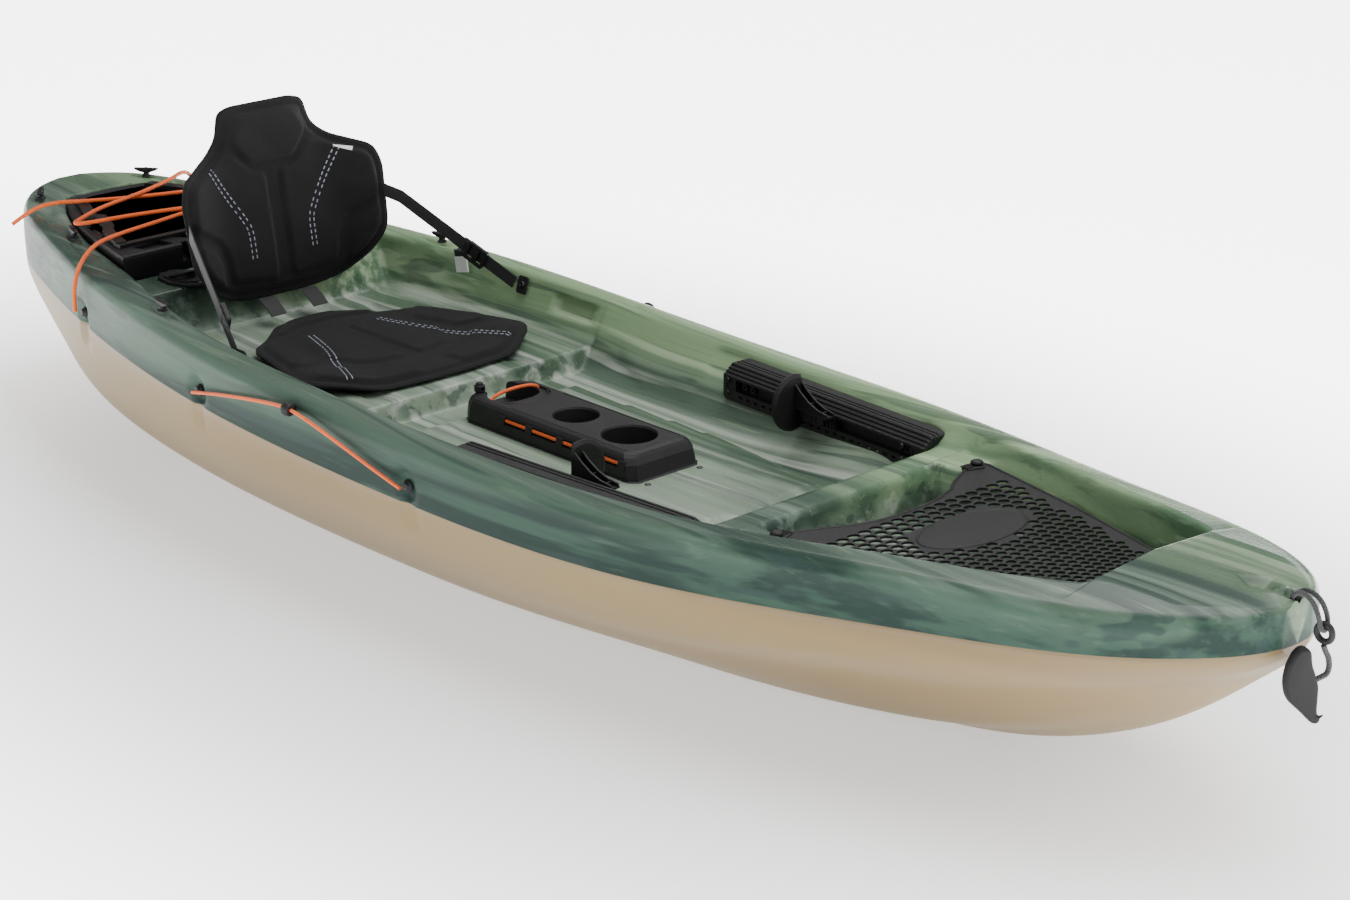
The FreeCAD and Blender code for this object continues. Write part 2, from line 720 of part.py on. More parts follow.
knobs = []
knob_x, knob_z = station(-215), GUNWALE - 18
for side, sign in (("port", 1), ("starboard", -1)):
    def beside(x, out=size("side_cord") / 2 + 6.6):
        return sign * (gunwale(x) + out)

    route = [(station(x), beside(station(x)), GUNWALE + z) for x, z in (
        (-500, -63), (-448, -51), (-352, -33), (-262, -20), (-215, -16), (-165, -23), (-70, -44), (20, -65),
        (70, -75))]
    node("paddle_bungee_" + side, cord("paddle_bungee_" + side, route, size("side_cord") / 2))
    big, hole = size("knob") / 2, size("side_cord") / 2 + 1.2
    ahead, up = Vector(1, 0, 0), Vector(0, 0, 1)
    bead = skinned([octagon(big * b, ahead * (0.75 * big * a), ahead, up)
                    for a, b in ((-1, 0.66), (-0.56, 0.93), (0, 1), (0.56, 0.93), (1, 0.66))])
    bead = bead.cut(skinned([octagon(hole, ahead * x, ahead, up) for x in (-big, big)]))
    bead.Placement = at(knob_x, beside(knob_x), knob_z)
    knobs.append(feature("knob_bead_" + side, bead))
node("paddle_knobs", fused("paddle_knob_pair", *knobs))

# ------------------------------------------------------------ console

tray = body("tray")


def tray_outline(back, front, half, lift):
    return sketch(tray, "XY_Plane", [
        (back, "-%s + 34" % half), (back + " + 10", "-%s + 14" % half), (back + " + 32", "-%s" % half),
        (front + " - 12", "-%s" % half), (front, "-%s + 12" % half), (front, "%s - 12" % half),
        (front + " - 12", half), (back + " + 32", half), (back + " + 10", "%s - 14" % half),
        (back, "%s - 34" % half)], lift)


loft(tray, tray_outline("sizes.console_aft", "sizes.console_fore", "sizes.console_foot_half", "0"),
     tray_outline("sizes.console_aft + 8", "sizes.console_fore - 22", "sizes.console_top_half",
                  "sizes.console_tall"))
pad(tray, sketch(tray, "XY_Plane", [("sizes.console_fore - 40", -70), ("sizes.console_fore + 18", -70),
                                    ("sizes.console_fore + 18", 70), ("sizes.console_fore - 40", 70)]), 6)
pocket(tray, ring(tray, "XY_Plane", "sizes.cup_x", "0", "sizes.cup_bore / 2", "sizes.console_tall"),
       "sizes.cup_depth")
pocket(tray, sketch(tray, "XY_Plane", [(-5, 0), (12, -26), (37, -34), (62, -26), (79, 0), (62, 26), (37, 34),
                                       (12, 26)], "sizes.console_tall"), "sizes.cup_depth - 4")
pocket(tray, sketch(tray, "XY_Plane", [(-150, -46), (-85, -46), (-85, 46), (-150, 46)], "sizes.console_tall"),
       "sizes.cup_depth - 6")
pocket(tray, sketch(tray, "XY_Plane", [(-70, -90), (222, -90), (222, -64), (-70, -64)], "38"), 11)
tray.setExpression("Placement.Base.z", "sizes.foot_floor + sizes.clearance")
console_base = size("foot_floor") + CLEAR
bridges = [piece("Box", "cord_bridge", at(x, -78, console_base + 22), Length=str(long), Width="16",
                 Height="21") for x, long in ((-4, 16), (72, 18), (152, 18))]
cord_way = piece("Box", "cord_way", at(-72, -73.4, console_base + 28.6), Length="296", Width="7", Height="6.8")
pocket_top = console_base + size("console_tall")
cord_sockets = [piece("Cylinder", "cord_socket", at(-118, y, pocket_top - 12), Radius="3.2", Height="20")
                for y in (-54, 54)]
tray_holes = [piece("Cylinder", "tray_hole", at(270, y, console_base - 1), Radius="2.5", Height="10")
              for y in (-56, 56)]
node("console_tray", cut("tray_cut", fused("tray_whole", tray, *bridges), cord_way, *cord_sockets, *tray_holes))

console_screws = []
for y in (-56, 56):
    console_screws += [screw_head("tray_screw_head", at(270, y, console_base + 6), "5.5", "2.5"),
                       screw_head("tray_screw", at(270, y, console_base), "2.3", "7")]
node("console_screws", fused("console_screw_set", *console_screws))
node("console_bungee", cord("console_bungee", [(-118, -54, pocket_top - 10), (-118, -54, pocket_top + 7),
                                               (-118, 54, pocket_top + 7), (-118, 54, pocket_top - 10)], 3))
lock = piece("Cylinder", "cord_lock_barrel", at(-160, -40, pocket_top + CLEAR), Radius="9", Height="16")
node("console_cord_lock", lock)
node("console_side_cord", cord("console_side_cord", [(-66, -69.5, console_base + 32), (-20, -69.8, console_base + 32),
                                                     (80, -70.2, console_base + 32), (180, -69.8, console_base + 32),
                                                     (218, -69.5, console_base + 32)], 3))

# ------------------------------------------------------------ foot braces

rail_turn = Rotation(Vector(0, 0, 1), math.degrees(math.atan(
    (size("rail_fore_y") - size("rail_aft_y")) / size("rail_long"))))
rail_place = at(size("rail_aft"), size("rail_aft_y"), size("rail_z"), rail_turn)

rail = body("rail")
pad(rail, sketch(rail, "YZ_Plane", [
    ("-sizes.rail_thick", "-sizes.rail_tall / 2 + 4"), ("-sizes.rail_thick + 4", "-sizes.rail_tall / 2"),
    ("-4", "-sizes.rail_tall / 2"), ("30", "sizes.rail_tall / 2"), ("-6", "sizes.rail_tall / 2"),
    ("-sizes.rail_thick", "sizes.rail_tall / 2 - 16")]), "sizes.rail_long")
pocket(rail, sketch(rail, "XZ_Plane", [(34, "-sizes.track_tall / 2"), ("sizes.rail_long - 28", "-sizes.track_tall / 2"),
                                       ("sizes.rail_long - 28", "sizes.track_tall / 2"),
                                       (34, "sizes.track_tall / 2")], "sizes.rail_thick + 1"),
       "sizes.track_deep + 1")
rail.Placement = rail_place
port_rail = common("rail_trimmed", rail, space)
node("foot_rail_port", port_rail)
node("foot_rail_starboard", twin("rail_twin", port_rail))

heads = []
for x in (14, size("rail_long") - 48):
    for z in (-16, 6):
        heads.append(screw_head("rail_screw", rail_place.multiply(
            at(x, -size("rail_thick") - CLEAR, z, Rotation(Vector(1, 0, 0), 90))), "5.5", "2.5"))
node("rail_screws_port", fused("rail_screw_set", *heads))
node("rail_screws_starboard", twin("rail_screw_twin", NODES["rail_screws_port"]))

pedal_disc = body("pedal_disc")
pad(pedal_disc, ring(pedal_disc, "YZ_Plane", "0", "0", "sizes.pedal_radius"), "sizes.pedal_plate")
pocket(pedal_disc, sketch(pedal_disc, "YZ_Plane", [(17, -60), (60, -60), (60, 60), (17, 60)]), 40, True, True)
pedal_disc.Placement = at(size("pedal_x"), size("pedal_y"), size("pedal_z"))
pedal_parts = [pedal_disc]
along_rail = rail_place.multiply(at(size("pedal_x") - size("rail_aft"), 0, 0))
for number, (y, low) in enumerate(((-47, 13), (-32, 13))):
    rib = body("pedal_rib_%d" % number)
    pad(rib, sketch(rib, "XZ_Plane", [(4, low), (85, low), (85, low + 8), (40, low + 16), (4, low + 46)]),
        4, True)
    rib.Placement = along_rail.multiply(at(0, y, 0))
    pedal_parts.append(rib)
pedal_parts.append(piece("Box", "pedal_bridge", along_rail.multiply(at(2, -size("rail_thick") - 24, 12)),
                         Length="84", Width="23.6", Height="4"))
pedal_parts.append(piece("Box", "pedal_slide", along_rail.multiply(at(10, -size("rail_thick") - 5,
                                                                       -size("track_tall") / 2 + CLEAR)),
                         Length="76", Width="sizes.track_deep + 4.4",
                         Height="sizes.track_tall - 2 * sizes.clearance"))
pedal_parts.append(piece("Box", "pedal_post", along_rail.multiply(at(10, -size("rail_thick") - 5, 0)),
                         Length="76", Width="4.4", Height="14"))
port_pedal = fused("pedal_whole", *pedal_parts)
node("foot_pedal_port", port_pedal)
node("foot_pedal_starboard", twin("pedal_twin", port_pedal))

lever = body("lever")
pad(lever, sketch(lever, "XY_Plane", [(16, -9), (60, -9), (66, -4), (61, 2.4), (28, 3), (12, -4)]), 14)
lever.Placement = along_rail.multiply(at(4, -size("rail_thick") - 8.4, -4))
node("pedal_lever_port", lever)
node("pedal_lever_starboard", twin("lever_twin", lever))

# ------------------------------------------------------------ seat

base = body("seat_foam_base")
base_corners = [(station(x), y) for x, y in ((-285, 170), (-360, 240), (-385, 250), (-590, 190), (-660, 115),
                                             (-712, 60))]
pad(base, sketch(base, "XY_Plane", base_corners + [(x, -y) for x, y in reversed(base_corners)]), "sizes.seat_foam")
base.setExpression("Placement.Base.z", "sizes.seat_floor + sizes.clearance")
node("seat_base", base)

back_panel = body("back_panel")
panel_corners = [(137, 0), (178, 34), (215, 78), (220, 200), (208, 236), (130, 272), (104, 292), (94, 345)]
pad(back_panel, sketch(back_panel, "YZ_Plane", panel_corners + [(-y, z) for y, z in reversed(panel_corners)]),
    300, True)
back_curve = body("back_curve")
curve_corners = [("0", "-118"), ("58", "-230"), ("58 - sizes.back_foam * 1.05", "-238"), ("-sizes.back_foam", "-132"),
                 ("-sizes.back_foam", "132"), ("58 - sizes.back_foam * 1.05", "238"), ("58", "230"), ("0", "118")]
pad(back_curve, sketch(back_curve, "XY_Plane", curve_corners), 400)
back_place = at(size("back_x"), 0, size("back_z"), lean(size("back_tilt")))
back_whole = common("back_whole", back_panel, back_curve)
back_whole.Placement = back_place
node("seat_back", back_whole)

hinge_straps = []
for y in (-46, 46):
    low = Vector(station(-711), y, size("seat_floor") + size("seat_foam") + 1.3)
    high = back_place.multVec(Vector(-5, y, -1.2))
    hinge_straps.append(feature("hinge_strap", webbing("hinge", low, high, 34, 2, Vector(0, 1, 0))))
node("seat_hinge_straps", fused("hinge_strap_pair", *hinge_straps))

anchor_x, anchor_z = station(-455), GUNWALE - 10
wall_slope = (breadth(well_space, anchor_x, anchor_z + 1) - breadth(well_space, anchor_x, anchor_z - 1)) / 2
wall_normal = Vector(0, -1, wall_slope).normalize()
anchor = Vector(anchor_x, breadth(well_space, anchor_x, anchor_z), anchor_z) + wall_normal * (3.4 * CLEAR)
anchor_place = Placement(anchor, Rotation(Vector(0, 0, 1), wall_normal))
plate = piece("Box", "anchor_plate", anchor_place.multiply(at(-13, -16, 0)), Length="26", Width="32", Height="3")
node("strap_anchors", fused("anchor_pair", plate, twin("anchor_plate_twin", plate)))
rivet = screw_head("anchor_rivet", anchor_place.multiply(at(0, 0, 3 + CLEAR)), "7", "3")
node("anchor_rivets", fused("rivet_pair", rivet, twin("rivet_twin", rivet)))

strap_start = anchor + wall_normal * 3 + Vector(-20, 0, 0)
wing = back_place.multVec(Vector(46, 220.7, 150))
strap = feature("strap", webbing("seat_strap", strap_start, wing, size("webbing_wide"), size("webbing_thick")))
node("seat_strap_port", strap)
node("seat_strap_starboard", twin("strap_twin", strap))

buckle_at = along(strap_start, wing, 0.3)
run = (wing - strap_start).normalize()
strap_normal = Vector(0, 0, 1).cross(run).normalize()
heading = Rotation(run, strap_normal, run.cross(strap_normal), "XYZ")
buckle = body("buckle")
pad(buckle, sketch(buckle, "XZ_Plane", [(-22, -18), (22, -18), (22, 18), (-22, 18)]), 7, True)
pocket(buckle, sketch(buckle, "XZ_Plane", [(-16, -13), (-5, -13), (-5, 13), (-16, 13)]), 20, False, True)
pocket(buckle, sketch(buckle, "XZ_Plane", [(5, -13), (16, -13), (16, 13), (5, 13)]), 20, False, True)
buckle.Placement = Placement(buckle_at + strap_normal * (4.5 + CLEAR), heading)
node("strap_buckle_port", buckle)
node("strap_buckle_starboard", twin("buckle_twin", buckle))

# ------------------------------------------------------------ mesh cover

cover_long = size("cover_fore") - size("cover_aft")
cover_rise = size("shelf_height") + 1.5 - size("ledge_height")
cover_tilt = math.degrees(math.atan(cover_rise / cover_long))
cover_place = at(size("cover_aft"), 0, size("ledge_height") + 2 * CLEAR, lean(cover_tilt))
cover = body("cover")
pad(cover, sketch(cover, "XY_Plane", [
    (0, "-sizes.cover_aft_half"), (24, "-sizes.cover_aft_half - 4"), (250, "-0.5 * (sizes.cover_aft_half + sizes.cover_fore_half) - 8"),
    ("sizes.cover_fore - sizes.cover_aft - 10", "-sizes.cover_fore_half"), ("sizes.cover_fore - sizes.cover_aft", -60),
    ("sizes.cover_fore - sizes.cover_aft", 60), ("sizes.cover_fore - sizes.cover_aft - 10", "sizes.cover_fore_half"),
    (250, "0.5 * (sizes.cover_aft_half + sizes.cover_fore_half) + 8"), (24, "sizes.cover_aft_half + 4"),
    (0, "sizes.cover_aft_half"), (20, 176), (58, 110), (76, 40), (76, -40), (58, -110), (20, -176)]),
    "sizes.cover_thick")
cover.Placement = cover_place


def cover_half(x):
    """Half breadth of the cover, measured along it."""
    middle = 0.5 * (size("cover_aft_half") + size("cover_fore_half")) + 8
    if x < 250:
        return size("cover_aft_half") + (middle - size("cover_aft_half")) * x / 250
    return middle + (size("cover_fore_half") - middle) * (x - 250) / (cover_long - 250)


pitch, mesh_bar = size("mesh_pitch"), size("mesh_bar")
hexes = []
row = 0
x = 100.0
while x < cover_long - 34:
    y = 0.0 if row % 2 else pitch / 2
    while y < cover_half(x) - 34:
        for sign in ((1, -1) if y else (1,)):
            if (x - 190) ** 2 / 62 ** 2 + (y / 80) ** 2 > 1:
                spot = Vector(x, sign * y, -3)
                rim_points = [spot + Vector(math.cos(math.radians(a)), math.sin(math.radians(a)), 0)
                              * (pitch - mesh_bar) / math.sqrt(3) for a in range(30, 391, 60)]
                hexes.append(Part.Face(Part.makePolygon(rim_points)).extrude(Vector(0, 0, size("cover_thick") + 6)))
        y += pitch
    row += 1
    x += pitch * math.sqrt(3) / 2
holes = Part.makeCompound(hexes)
holes.Placement = cover_place
pin_places = [cover_place.multiply(at(x, sign * y, 0)) for x, y in ((14, 214), (cover_long - 22, 78))
              for sign in (1, -1)]
pin_holes = []
for place in pin_places:
    bore = Part.makeCylinder(4.3, 20, Vector(0, 0, -8))
    bore.Placement = place
    pin_holes.append(bore)
node("mesh_cover", cut("cover_cut", cover, feature("mesh_holes", holes), feature("pin_holes", Part.makeCompound(pin_holes))))

pins = []
for place in pin_places:
    pins.append(screw_head("pin_head", place.multiply(at(0, 0, size("cover_thick") + CLEAR)), "10", "6"))
    pins.append(screw_head("pin_shank", place, "4", "sizes.cover_thick + 3"))
node("mesh_pins", fused("pin_set", *pins))

# ------------------------------------------------------------ bow handle

hx, hz = size("handle_x"), size("handle_z")
loop_radius = size("side_cord") / 2 + 0.5
strand = [(hx + x, y, hz + z) for x, y, z in ((-54, 5, 9), (-53, 5, 37), (-37, 6, 49), (-16, 8, 42),
                                              (-4, 9, 23), (-1, 8, 7))]
loop_bottom = (hx, 0, hz + size("handle_ring") - size("handle_ring_bar") / 2 - loop_radius - 7 * CLEAR)
node("bow_cord", cord("bow_cord", [(x, -y, z) for x, y, z in strand] + [loop_bottom] + strand[::-1], loop_radius))
RING_SIDES = 16
bar = size("handle_ring_bar") / 2


def ring_disc(reach):
    """A many-sided disc as thick as the handle ring's bar."""
    corners = [Vector(hx + reach * math.cos(2 * math.pi * i / RING_SIDES), -0.7 * bar,
                      hz + reach * math.sin(2 * math.pi * i / RING_SIDES)) for i in range(RING_SIDES + 1)]
    return Part.Face(Part.makePolygon(corners)).extrude(Vector(0, 1.4 * bar, 0))


handle_ring = ring_disc(size("handle_ring") + bar).cut(ring_disc(size("handle_ring") - bar))
node("bow_ring", feature("handle_ring", handle_ring.makeChamfer(0.3 * bar, handle_ring.Edges)))
grip_turn = Rotation(Vector(0, 0, 1), size("grip_turn"))
hang = [grip_turn.multVec(Vector(u, 0, z)) for u, z in ((0, -17.4), (2.5, -25), (9, -36), (11, -50), (8, -59.5),
                                                        (1.4, -61.9), (-7.1, -64.8))]
node("bow_handle_cord", cord("bow_handle_cord", [(hx + v.x, v.y, hz + v.z) for v in hang], size("handle_cord") / 2))
grip = body("grip")
pad(grip, sketch(grip, "XZ_Plane", [(-27, -15), (-35, -15), (-43, -21), (-52, -38), (-56, -62), (-50, -87), (-27, -109),
                                    (-11, -126), (-3, -127), (1, -121), (-5, -111), (-5, -72), (-11, -55), (-17, -40),
                                    (-19, -22)]), "sizes.grip_thick", True)
grip.Placement = at(hx, 0, hz, grip_turn)
node("bow_handle", grip)

# ------------------------------------------------------------ checks and files

doc.recompute()
for thing in doc.Objects:
    if {"Invalid", "Error"} & set(thing.State):
        raise RuntimeError("%s failed: %s" % (thing.Label, thing.State))
os.makedirs("parts", exist_ok=True)
for name, thing in NODES.items():
    if thing.Shape.isNull() or not thing.Shape.isValid():
        raise RuntimeError("%s has no valid shape" % name)
    thing.Shape.exportStep("parts/%s.step" % name)
for name, (bend, share) in CORD_RADII.items():
    print("%s: smallest bend %.1f mm, volume / ideal %.4f" % (name, bend, share))
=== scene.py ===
"""The looks of a sit-on-top fishing kayak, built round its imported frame.

Metres, +X to the bow, +Y to port, +Z up.  The two shells are lofted from the
boat's own table of offsets; every fitting is modelled where the frame has it.
"""
import math

import bmesh
import bpy
from mathutils import Matrix, Vector


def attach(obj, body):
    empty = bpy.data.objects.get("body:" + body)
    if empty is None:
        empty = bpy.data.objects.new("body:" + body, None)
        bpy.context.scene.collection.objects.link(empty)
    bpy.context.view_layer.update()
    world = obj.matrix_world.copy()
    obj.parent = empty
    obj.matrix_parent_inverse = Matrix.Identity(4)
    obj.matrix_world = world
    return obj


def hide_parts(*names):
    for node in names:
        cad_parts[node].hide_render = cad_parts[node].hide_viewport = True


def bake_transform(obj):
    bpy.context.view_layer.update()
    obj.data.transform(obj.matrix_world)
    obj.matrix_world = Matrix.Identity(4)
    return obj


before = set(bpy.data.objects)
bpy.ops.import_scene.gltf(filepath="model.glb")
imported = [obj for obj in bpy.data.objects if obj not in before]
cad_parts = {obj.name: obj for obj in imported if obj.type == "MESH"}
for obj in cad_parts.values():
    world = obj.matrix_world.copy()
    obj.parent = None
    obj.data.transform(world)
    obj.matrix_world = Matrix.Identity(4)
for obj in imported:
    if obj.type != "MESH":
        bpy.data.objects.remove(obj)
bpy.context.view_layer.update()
SCENE = bpy.context.scene
MM = 0.001

# ---------------------------------------------------------------- camera

camera = bpy.data.objects.new("camera", bpy.data.cameras.new("camera"))
SCENE.collection.objects.link(camera)
camera.data.lens, camera.data.sensor_width = 81.6, 36.0
camera.location = (3.578, -3.093, 1.909)
LOOK_DOWN, LOOK_TILT, LOOK_HEADING = 20.04, 0.03, 46.89  # degrees
camera.rotation_euler = [math.radians(turn) for turn in (90 - LOOK_DOWN, LOOK_TILT, LOOK_HEADING)]
SCENE.camera = camera

# ---------------------------------------------------------------- shader kit


class Socket:
    """A shader value with arithmetic: each operation adds its Math node."""

    def __init__(self, finish, link):
        self.finish, self.link = finish, link

    def math(self, operation, *values):
        return self.finish.node("ShaderNodeMath", {"operation": operation}, *values)

    def __add__(self, other):
        return self.math("ADD", self, other)

    def __sub__(self, other):
        return self.math("SUBTRACT", self, other)

    def __rsub__(self, other):
        return self.math("SUBTRACT", other, self)

    def __mul__(self, other):
        return self.math("MULTIPLY", self, other)

    def __truediv__(self, other):
        return self.math("DIVIDE", self, other)

    def __pow__(self, other):
        return self.math("POWER", self, other)

    __radd__, __rmul__ = __add__, __mul__

    def step(self, low, high):
        """0 below low, 1 above high, smooth between them."""
        return self.finish.node("ShaderNodeMapRange", {"interpolation_type": "SMOOTHSTEP"},
                                self, low, high, 0.0, 1.0)

    def wave(self):
        return self.math("SINE", self)

    def most(self, other):
        return self.math("MAXIMUM", self, other)


class Finish:
    """A material: its nodes and its one principled shader."""

    def __init__(self, name, colour, roughness, **constants):
        self.material = bpy.data.materials.new(name)
        self.material.use_nodes = True
        self.tree = self.material.node_tree
        self.shader = self.tree.nodes["Principled BSDF"]
        self.shader.inputs["Base Color"].default_value = (*colour, 1.0)
        self.shader.inputs["Roughness"].default_value = roughness
        for key, value in constants.items():
            self.shader.inputs[key.replace("_", " ")].default_value = value

    def plug(self, socket, value):
        if isinstance(value, Socket):
            self.tree.links.new(value.link, socket)
        elif isinstance(value, (tuple, list)) and socket.type == "RGBA":
            socket.default_value = (*value[:3], 1.0)
        else:
            socket.default_value = value

    def node(self, kind, settings, *values, **named):
        """A node of any kind, its settings first, and then the values or links of its sockets."""
        made = self.tree.nodes.new(kind)
        for key, value in settings.items():
            setattr(made, key, value)
        for socket, value in zip(made.inputs, values):
            if value is not None:
                self.plug(socket, value)
        for key, value in named.items():
            self.plug(made.inputs[key.replace("_", " ")], value)
        return Socket(self, made.outputs[0])

    def place(self, kind="Object"):
        made = self.tree.nodes.new("ShaderNodeTexCoord")
        return Socket(self, made.outputs[kind])

    def parts(self, vector):
        split = self.tree.nodes.new("ShaderNodeSeparateXYZ")
        self.tree.links.new(vector.link, split.inputs[0])
        return [Socket(self, output) for output in split.outputs]

    def point(self, x, y, z):
        return self.node("ShaderNodeCombineXYZ", {}, x, y, z)

    def noise(self, vector, scale, detail=3.0, rough=0.5):
        return self.node("ShaderNodeTexNoise", {}, Vector=vector, Scale=scale, Detail=detail, Roughness=rough)

    def cells(self, vector, scale):
        return self.node("ShaderNodeTexVoronoi", {}, Vector=vector, Scale=scale)

    def mix(self, share, a, b):
        """From colour a to colour b."""
        made = self.tree.nodes.new("ShaderNodeMix")
        made.data_type = "RGBA"
        for index, value in ((0, share), (6, a), (7, b)):
            self.plug(made.inputs[index], value)
        return Socket(self, made.outputs[2])

    def colour(self, value):
        self.plug(self.shader.inputs["Base Color"], value)
        return self

    def rough(self, value):
        self.plug(self.shader.inputs["Roughness"], value)
        return self

    def glow(self, value):
        self.plug(self.shader.inputs["Emission Color"], value)

    def bump(self, height, depth):
        normal = self.node("ShaderNodeBump", {}, Strength=1.0, Distance=depth, Height=height)
        self.plug(self.shader.inputs["Normal"], normal)
        return self


def shade(red, green, blue):
    """A colour given as it looks on a screen."""
    return tuple((c / 255 / 12.92) if c / 255 <= 0.04045 else ((c / 255 + 0.055) / 1.055) ** 2.4
                 for c in (red, green, blue))


# ---------------------------------------------------------------- finishes


def streaked_deck():
    """Camouflage sheet: dyes of several greens drawn out along the boat, with painted light mixed in: the port
    side painted lighter, the outer flank painted darker with a lighter top, and painted highlights in the pale
    streaks.
    """
    f = Finish("deck_streaks", shade(120, 150, 120), 0.3, Coat_Roughness=0.12,
               Specular_IOR_Level=0.16)
    x, y, z = f.parts(f.place())
    outside, _, _ = f.parts(f.place("UV"))
    bend = f.noise(f.point(x * 0.8, y * 1.5, z * 1.5), 1.0, 2.0) * 0.16
    slant = (x * 0.035).wave() * 0.2
    across, up = y + bend + slant, z + bend * 0.6 - x * 0.012
    broad = f.noise(f.point(x * 0.4, across * 11.0, up * 13.0), 1.0, 2.0, 0.5)
    band = f.noise(f.point(x * 0.5 + 5.0, across * 26.0, up * 30.0), 1.0, 3.0, 0.55)
    thread = f.noise(f.point(x * 0.8 + 9.0, across * 74.0, up * 84.0), 1.0, 3.0, 0.6)
    seam = f.noise(f.point(x * 0.3 + 2.0, across * 34.0, up * 38.0), 1.0, 1.0, 0.5)
    # the port side is painted lighter than starboard: partly the sheet's own yellower tone, partly painted light
    port = y.step(-0.16, 0.22) * (1.0 - outside)
    low = (1.0 - z.step(0.235, 0.275)) * (1.0 - outside)
    leaf = f.mix(port, shade(84, 102, 88), shade(132, 158, 120))
    pale = f.mix(port, shade(112, 130, 118), shade(172, 194, 158))
    deep = f.mix(port, shade(54, 72, 62), shade(88, 118, 88))
    leaf, pale = f.mix(low, leaf, shade(130, 146, 128)), f.mix(low, pale, shade(168, 176, 164))
    deep = f.mix(low, deep, shade(76, 94, 78))
    # outer flank: dark teal, partly its own tone and partly painted shade
    flank_tone_and_painted_shade = f.mix(band.step(0.42, 0.6), shade(26, 48, 42), shade(50, 76, 64))
    # upper flank painted lighter in patches: partly camouflage, partly painted light from above
    flank_tone_and_painted_shade = f.mix((z - x * 0.03).step(0.25, 0.3) * broad.step(0.42, 0.56) * 0.6, flank_tone_and_painted_shade, shade(78, 104, 86))
    base = f.mix(broad.step(0.40, 0.60), deep, leaf)
    base = f.mix(band.step(0.50, 0.66) * 0.75, base, pale)
    base = f.mix(outside, base, flank_tone_and_painted_shade)
    base = f.mix(seam.step(0.6, 0.66) * (0.5 + outside * 0.2), base, shade(40, 58, 56))
    base = f.mix(thread.step(0.54, 0.70) * 0.34, base, shade(44, 62, 56))
    # pale streaks along the sheet: partly its own streaks, partly painted highlight
    base = f.mix((1.0 - thread.step(0.28, 0.42)) * (0.24 - outside * 0.2), base, shade(168, 190, 160))
    f.colour(base)
    f.rough(0.2 + thread * 0.14 + outside * 0.14)
    f.plug(f.shader.inputs["Coat Weight"], (1.0 - outside) * 0.12)
    grain = f.noise(f.place(), 900.0, 2.0)
    return f.bump(grain, 0.00012)


def tan_hull():
    """Tan sheet, with painted shade a little darker at the keel and a painted shadow just below the seam."""
    f = Finish("hull_tan", shade(178, 162, 132), 0.4, Coat_Weight=0.1, Coat_Roughness=0.25,
               Specular_IOR_Level=0.35)
    x, y, z = f.parts(f.place())
    cloud = f.noise(f.point(x * 1.2, y * 3.0, z * 6.0), 1.0, 3.0)
    tone = f.mix(cloud.step(0.35, 0.65) * 0.5, shade(142, 120, 80), shade(152, 132, 92))
    # painted shade: darker towards the keel, on the underside
    low = z.step(0.02, 0.16)
    tone = f.mix((1.0 - low) * 0.4, tone, shade(108, 88, 54))
    # painted shadow of the deck's lip: a darker band just below the seam
    f.colour(f.mix(z.step(0.205, 0.25) * 0.45, tone, shade(110, 92, 64)))
    f.rough(0.33 + cloud * 0.12)
    return f.bump(f.noise(f.place(), 700.0, 2.0), 0.00012)


def moulded(name, tone, roughness, grain=1400.0, depth=0.00022, **constants):
    """Black plastic with the fine leather grain of its mould."""
    f = Finish(name, shade(tone, tone, tone), roughness, **{"Specular_IOR_Level": 0.3, **constants})
    spot = f.place()
    pebble = f.cells(spot, grain)
    cloud = f.noise(spot, 14.0, 3.0)
    f.colour(f.mix(cloud.step(0.35, 0.7) * 0.6, shade(tone, tone, tone),
                   shade(tone + 7, tone + 7, tone + 8)))
    f.rough(roughness - 0.06 + cloud * 0.14)
    return f.bump(pebble, depth)


THREADS = 5200.0  # radians of the seat's weave in a metre


def woven_fabric():
    """Close black weave over moulded foam."""
    f = Finish("seat_weave", shade(24, 24, 25), 0.9, Sheen_Weight=0.05, Sheen_Roughness=0.5,
               Specular_IOR_Level=0.2)
    x, y, z = f.parts(f.place())
    cloth = (y * THREADS).wave() * ((x + z) * THREADS).wave()
    cloud = f.noise(f.place(), 18.0, 3.0)
    # the weave adds a little painted shade in its hollows; the cloud is the cloth's own uneven tone
    f.colour(f.mix(cloud.step(0.3, 0.7) * 0.7 + cloth * 0.12, shade(17, 17, 18), shade(27, 27, 28)))
    f.rough(0.78 + cloud * 0.16)
    return f.bump(cloth, 0.00015)


def strap_weave(name, light, groove_shade):
    """Ribs along the strap and picks across it, from the piece's own map, with painted shade in the weave's
    hollows.
    """
    f = Finish(name, light, 0.75, Sheen_Weight=0.2)
    u, v, _ = f.parts(f.place("UV"))
    ribs = (v * 75.0).wave()
    picks = (u * 2600.0 + ribs * 1.2).wave()
    # painted shade: darker in the low parts of the weave
    f.colour(f.mix(picks * 0.5 + 0.5, groove_shade, light))
    return f.bump(picks * 0.6 + ribs * 0.4, 0.0004)


STRANDS, LAY_LENGTH = 4, 2.6  # strands each way, and the cord's diameters that one turn of them takes


